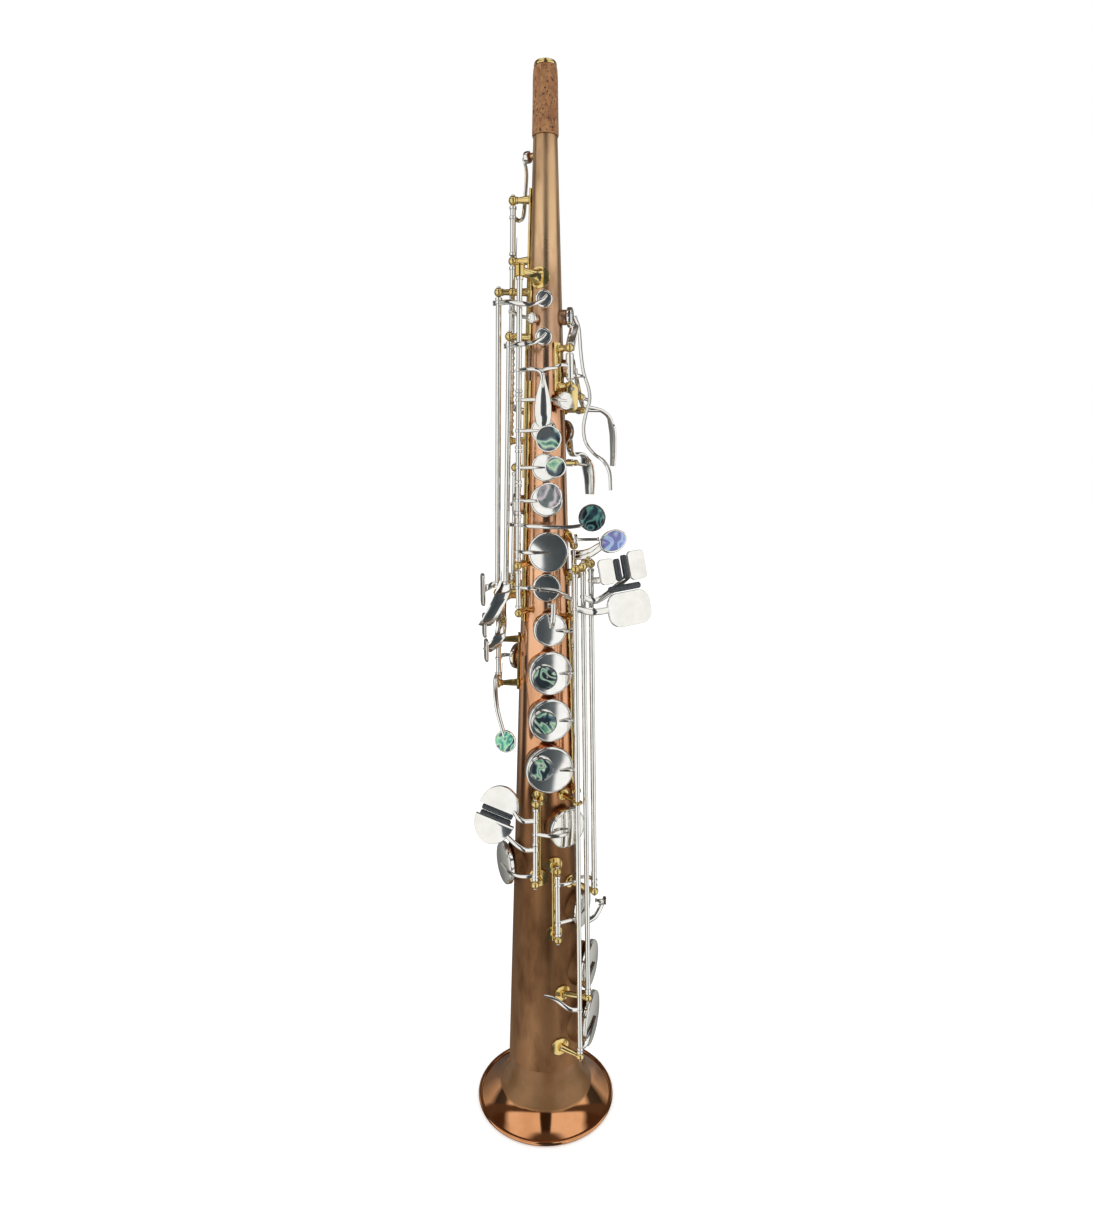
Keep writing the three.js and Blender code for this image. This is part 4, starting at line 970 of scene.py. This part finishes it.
def buildKey(name, key):
    standsOpen = key["cups"] and tones[key["cups"][0]][3]
    lift = turnFor(key["rod"], key["cups"][0], keyShape["openLift"]) if standsOpen else 0
    metal, leather, pearly = bmesh.new(), bmesh.new(), bmesh.new()
    for tone in key["cups"]:
        cup(metal, tone)
        pad(leather, tone)
    for path, width, thickness, side, tip in key["arms"]:
        bar(metal, path, width, thickness, side, tip)
    for centre, radius, face in key.get("pearls", []):
        base = crownPoint(key["cups"][0], -1.2)
        middle = vec((base.x + centre.x) / 2, base.y, (base.z + centre.z) / 2)
        if name != "altFSharpKey":  # whose pearl sits on its lever, away from the cup
            rod(metal, middle, centre, 2.4, 1.8)
        bezel(metal, centre, radius, face)
        shell(pearly, centre, radius, face)
    for shape in (metal, leather, pearly):
        turnAbout(shape, key["rod"], lift)
    for path, width, thickness, side, tip in key.get("rest", []):
        bar(metal, path, width, thickness, side, tip)
    for matrix, width, height, thickness, corner, cut in key.get("plates", []):
        plate(metal, matrix, width, height, thickness, corner, cut)
    for centre, radius, face in key.get("restPearls", []):
        bezel(metal, centre, radius, face)
        shell(pearly, centre, radius, face)
    low, high = key["span"]
    roots = [path[0][2] for path, *_ in key["arms"] + key.get("rest", [])]
    inner = [z for z in roots if low + 2 < z < high - 2]
    hinge(metal, key["rod"], low, high, [*key.get("collars", []), *inner])
    finishPiece(name, metal, "silver", key["node"], [key["node"]])
    if leather.verts:
        finishPiece(name + "Pad", leather, "leather", key["node"])
    if pearly.verts:
        finishPiece(name + "Pearl", pearly, key.get("shell", "greenShell"), key["node"])


for keyName, keyParts in keys.items():
    buildKey(keyName, keyParts)
print("hinged keys ready")

# Touches and levers with shapes of their own

teardrop = {"outline": [(0, -8.6), (2.4, -8.3), (4.1, -6.4), (4.9, -2), (4.9, 3), (4.2, 8), (3.1, 12),
    (2.0, 15.4), (1.3, 18.6), (1.0, 21), (0, 21.6)],
    "place": (-1.4, -24.4, 461.6), "depth": 0.42}
sideTouches = {  # place, half height, body
    "highETouch": (vec(-38.2, -7, 357), 10, "high_e_key"),
    "sideCTouch": (vec(-37.2, -10.6, 335.6), 7.6, "side_c_key"),
    "sideBFlatTouch": (vec(-36.8, -4.4, 318.4), 7.2, "side_bb_key"),
}
rollers = {  # centre, way, length, radius, node
    "rollerCSharp": (tableSpot(-2.1, 6.4, 0.5), tableUp, 13, 1.9, "table_roller_csharp"),
    "rollerB": (tableSpot(2.6, 7.4, 0.5), tableUp, 14, 1.9, "table_roller_b"),
    "rollerBFlat": (tableSpot(0, -4.4, 0.7), tableAcross, 20, 1.9, "table_roller_bb"),
    "rollerEFlat": (pinkySpot(0, 2.0, 0.6), pinkyAcross, 20, 1.8, "pinky_roller_eflat"),
    "rollerC": (pinkySpot(0, -2.1, 0.6), pinkyAcross, 20, 1.8, "pinky_roller_c"),
}
palmKeys = {  # azimuth, pivot (radius, height), lever (radius, height) points, tone, node
    "palmF": (-9, (21.4, 471), [(19.6, 510), (20.9, 496), (22.6, 485), (25.6, 476), (26.2, 469), (24, 461),
        (22.8, 453), (24.2, 445), (29, 438.6), (35.4, 433.6), (38.6, 427), (39.4, 417)], "palmF", "palm_f"),
    "palmEFlat": (15, (21.6, 464), [(19.4, 481), (21.2, 473), (23.6, 466.6), (29, 465.6), (35, 464),
        (40, 460), (42.4, 452), (43, 441), (42.8, 431)], "palmEFlat", "palm_eb"),
    "palmD": (46, (22.2, 433), [(20.8, 447), (22, 441), (25, 437.6), (30, 438.6), (35, 437), (38.6, 431),
        (40.6, 423), (41, 413)], "palmD", "palm_d"),
}


palmPost = {"apart": 4.4, "ball": 1.9}


def buildFrontF():
    shape = bmesh.new()
    hinge(shape, "upperStack", 472.6, 539 - 3.25, [485])
    bar(shape, [onRod("upperStack", 485), (-9, -22.8, 485), (-3.4, -24.2, 484), (-1.6, -24.6, 480),
        (-1.4, -24.4, 474)], 2.4, 2)
    bar(shape, [(-3.4, -24.2, 484), (2, -22.8, 485.4), (6.4, -20.4, 486)], 2.2, 1.8, tip=0.7)
    made = lathe(shape, teardrop["outline"], steps=40)
    bmesh.ops.scale(shape, vec=(1, teardrop["depth"], 1), verts=made)
    bmesh.ops.translate(shape, vec=teardrop["place"], verts=made)
    finishPiece("frontFTouch", shape, "silver", "front_f_key", ["front_f_key"])
    shape = bmesh.new()
    hinge(shape, "rocker", 477 + beside, 498 - beside, [488, 482.4])
    rod(shape, onRod("rocker", 480.6), onRod("rocker", 494.4), 2.4)
    bar(shape, [onRod("rocker", 488), (9.6, -16.2, 488), (5.4, -16.2, 487)], 2.2, 1.8, tip=0.7)
    bar(shape, [onRod("rocker", 482.4), (18, -13, 482.4), (21.4, -9.6, 482.4)], 2.2, 1.8, tip=0.7)
    finishPiece("frontFRocker", shape, "silver", "front_f_rocker", ["front_f_rocker"])


def buildThumbTouch():
    shape = bmesh.new()
    place = at(462, 112, 9)
    plate(shape, facing(place, outward(112), around(112)), 11.2, 16.8, 2.2, None, None, 0.7)
    finishPiece("octaveThumbPlate", shape, "silver", "octave_thumb_lever")


def buildSideTouches():
    for name, (place, half, body) in sideTouches.items():
        shape = bmesh.new()
        across = vec(0.25, -1, 0).normalized()
        plate(shape, facing(place, vec(-1, -0.25, 0), across), 8.8, half * 2, 1.8, 3.2, None, 0.6)
        finishPiece(name, shape, "silver", body)


def buildLevers():
    shape = bmesh.new()
    hinge(shape, "gSharpLever", 340.5 + beside, 385 - beside, [352, 380])
    bar(shape, [onRod("gSharpLever", 352), (13, -16.6, 354), (9.6, -18.4, 355.4)], 2.4, 1.8, tip=0.8)
    bar(shape, [onRod("gSharpLever", 380), (25, -20.6, 382), (32, -22.4, 386), gTouchSpot(0, 0, -1.4)], 3.4,
        2)
    plate(shape, gTouchFrame(0, 0, -0.2), 17.4, 13, 2.2, None, None, 0.6)
    finishPiece("gSharpLever", shape, "silver", "gsharp_lever", ["gsharp_lever"])
    shape = bmesh.new()
    plate(shape, gTouchFrame(0, 0, 0.9), 15.4, 11, 0.8, None, None, 0.35)
    finishPiece("gSharpTouchShell", shape, "blueShell", "gsharp_lever")
    shape = bmesh.new()
    hinge(shape, "cSharpLever", 165.4 + beside, 375 - beside, [173, 365])
    bar(shape, [onRod("cSharpLever", 173), (26.4, -17.8, 173), (19.6, -19.4, 173)], 2.6, 1.8, tip=0.8)
    bar(shape, [onRod("cSharpLever", 365), (32, -26.4, 366), tableSpot(-9.6, 4.6, -1.2)], 4, 1.8)
    plate(shape, tableFrame(-9, 6.4), 9.6, 15, 2, 2.6)
    finishPiece("lowCSharpLever", shape, "silver", "low_csharp_lever", ["low_csharp_lever"])


def buildRollers():
    for name, (centre, way, length, radius, node) in rollers.items():
        shape = bmesh.new()
        h = length / 2
        lathe(shape, [(0, -h), (radius - 0.7, -h), (radius - 0.2, -h + 0.4), (radius, -h + 1.2),
            (radius, h - 1.2), (radius - 0.2, h - 0.4), (radius - 0.7, h), (0, h)],
              centre, way, 32)
        finishPiece(name, shape, "ebonite", node, [node])


def buildPalmKeys():
    for name, (azimuth, pivot, lever, tone, node) in palmKeys.items():
        side = around(azimuth)

        def inPlane(radius, z, shift=0.0):
            point = outward(azimuth) * radius + side * shift
            point.z = z
            return point

        shape = bmesh.new()
        cup(shape, tone)
        path = [crownPoint(tone, 0.2), *[inPlane(r, z) for r, z in lever]]
        bar(shape, path, 5, 1.7, side, boxy=True)
        touch = [inPlane(r, z) for r, z in lever[-4:]]
        bar(shape, touch, 10, 1.7, side, root=0.5, tip=0.75, boxy=True)
        near = min(lever, key=lambda place: abs(place[1] - pivot[1]))
        bar(shape, [inPlane(*pivot), inPlane(*near)], 4, 1.8, side)
        rod(shape, inPlane(*pivot, -2.4), inPlane(*pivot, 2.4), 2.2)
        if name == "palmF":  # the broad cheek under this cup
            bar(shape, [crownPoint(tone, -1.2), (16.6, -4.4, 510), (15, -6, 503), (14, -7, 497)], 5.6, 1.5,
                (1, -0.4, 0), boxy=True)
        finishPiece(name + "Key", shape, "silver", node + "_key", [node + "_key"])
        shape = bmesh.new()
        pad(shape, tone)
        finishPiece(name + "Pad", shape, "leather", node + "_key")
        shape = bmesh.new()
        z = pivot[1]
        bar(shape, [at(z, azimuth - 14, 0.9), at(z, azimuth, 0.9), at(z, azimuth + 14, 0.9)], 5, 1.6, up,
            boxy=True)
        for shift in (-palmPost["apart"], palmPost["apart"]):
            end = inPlane(*pivot, shift)
            ball(shape, end, palmPost["ball"])
            rod(shape, at(z, azimuthOf(end), 0.8), end, 1.5, 1.2)
        finishPiece(name + "Posts", shape, "brass", "horn", [node + "_posts"])


buildFrontF()
buildThumbTouch()
buildSideTouches()
buildLevers()
buildRollers()
buildPalmKeys()
print("touches, rollers and palm keys ready")

# Guides, springs and adjusting screws

springPosts = [("lowBFlat", 0), ("lowB", 0), ("cSharpLever", 0), ("highE", 0), ("sideC", 0), ("sideBFlat",
    0), ("pinky", 0), ("pinky", 1),
               ("cSharp", 0), ("lowerStack", 0), ("lowerStack", 1), ("upperStack", 0), ("altFSharp",
                   0), ("octaveHigh", 0)]
springShape = {"length": 13, "radius": 0.28, "tip": 0.16, "offset": 2.35}
guide = {"height": 228, "foot": 3.6, "loop": 2.6, "wire": 0.7}


def thumbScrew(shape, base, way, radius, length):
    # a knurled head on a threaded shank
    way = way.normalized()
    made = lathe(shape, [(0, 0), (radius - 0.4, 0), (radius, 0.3), (radius, 1.7), (radius - 0.4, 2),
        (1.2, 2), (0.95, 2.6), (0.95, length - 1), (1.3, length - 0.6), (1.3, length), (0, length)], base,
        way, 26)

    def fromAxis(v):
        return v.co - base - way * (v.co - base).dot(way)

    def turnOf(v):
        return math.atan2((v.co - base).cross(way).z, (v.co - base).z)

    knurled = [v for v in made if fromAxis(v).length > radius - 0.1]
    for i, v in enumerate(sorted(knurled, key=turnOf)):
        if i % 4 < 2:  # every second pair of edges drawn in
            v.co -= fromAxis(v) * 0.12


def buildSmallParts():
    shape = bmesh.new()
    for name, end in springPosts:
        near, far = rods[name][end], rods[name][1 - end]
        inward = -vec(near.x, near.y, 0).normalized() * springShape["offset"]
        tip = near + inward + (far - near).normalized() * springShape["length"]
        rod(shape, near + inward * 0.8, tip, springShape["radius"], springShape["tip"], 8, 0.05)
    finishPiece("needleSprings", shape, "steel", "horn")
    # the guide that steadies the longest rod half way
    shape = bmesh.new()
    middle = onRod("lowBFlat", guide["height"])
    foot(shape, guide["height"], azimuthOf(middle), guide["foot"])
    base = at(guide["height"], azimuthOf(middle), footHeight)
    rod(shape, base, base.lerp(middle, 0.8), 2, 1.4)
    low, high = rods["lowBFlat"]
    lathe(shape, ringProfile(guide["loop"], guide["wire"], 12), middle, high - low, 28)
    finishPiece("rodGuide", shape, "brass", "horn")
    # the stop plate for the palm keys, on its two screws
    shape = bmesh.new()
    plate(shape, facing(vec(15.4, -14.6, 470), vec(0.2, -1, 0), vec(1, 0.2, 0)), 6.6, 15, 1.6, 3.1)
    bar(shape, [at(474.5, -18, 0.6), (15, -8, 474.5), (16.4, -13.6, 474.5)], 4, 1.6, up)
    finishPiece("palmStopPlate", shape, "brass", "horn")
    shape = bmesh.new()
    for z in (465.2, 474.8):
        rod(shape, vec(15.4, -15.1, z), vec(15.6, -16.2, z), 1.1)
    finishPiece("palmStopScrews", shape, "silver", "horn")
    shape = bmesh.new()
    thumbScrew(shape, vec(16.6, -24, 389.2), vec(1, 0, 0.02), 3.3, 14.6)
    bar(shape, [onRod("gSharpLever", 378), (24, -20, 379), (30.4, -22.6, 383), (34, -24.4, 387)], 3.4, 1.8)
    finishPiece("gSharpScrew", shape, "silver", "gsharp_lever")
    shape = bmesh.new()
    bracket = onRod("lowB", 146)
    bar(shape, [bracket, (31.6, -23.4, 148.6), (35, -21.6, 153.6), (35.4, -21.4, 157.6)], 4, 2)
    thumbScrew(shape, vec(38.6, -21.2, 158.4), vec(-1, 0, 0), 2.6, 7)
    finishPiece("lowBScrew", shape, "silver", "low_b_key")
    shape = bmesh.new()
    for z in (350.6, 344.8):
        rod(shape, vec(2.6, -25.2, z), vec(2.6, -28, z), 1.5, 1.1)
    finishPiece("fSharpScrews", shape, "silver", "fsharp_key")
    shape = bmesh.new()
    for x, z in ((-9.6, 361), (-4.4, 359.6)):
        rod(shape, vec(x, -22.4, z), vec(x, -25.4, z), 1.5, 1.2)
    finishPiece("gSharpKeyScrews", shape, "silver", "gsharp_key")


buildSmallParts()
print("small parts ready")

# Rests and rings at the back


def buildRests():
    shape = bmesh.new()
    foot(shape, 440, 96, 5.6)
    lathe(shape, [(0, 0), (3, 0), (3.4, 1), (6.8, 2.4), (7, 3.2), (6.4, 4.4), (4, 5), (0, 5.1)],
        at(440, 96, 0.7), outward(96), 40)
    finishPiece("thumbRest", shape, "brass", "horn", ["thumb_rest"])
    shape = bmesh.new()
    foot(shape, 398, 90, 5)
    rod(shape, at(398, 90, 0.6), at(398, 90, 4.6), 2.6, 1.9)
    lathe(shape, ringProfile(5, 1.3, 16), at(398, 90, 9), vec(1, 0, 0), 40)
    finishPiece("strapRing", shape, "brass", "horn", ["strap_ring"])
    shape = bmesh.new()
    bar(shape, [at(290, 90, 1.0), at(309, 90, 1.0), at(328, 90, 1.0)], 8, 1.5, (1, 0, 0), boxy=True)
    finishPiece("thumbHookPlate", shape, "brass", "horn", ["thumb_hook_plate"])
    shape = bmesh.new()
    plate(shape, facing(at(306, 90, 3.6), outward(90), vec(1, 0, 0)), 9, 20, 2, 3)
    bar(shape, [at(306, 90, 3.4), at(308, 90, 14), at(302, 90, 23), at(290, 90, 25)], 9, 2.6, (1, 0, 0),
        boxy=True)
    rod(shape, at(312, 90, 4), at(312, 90, 6), 2.4)
    finishPiece("thumbHook", shape, "brass", "thumb_hook", ["thumb_hook"])


buildRests()
print("rests ready")
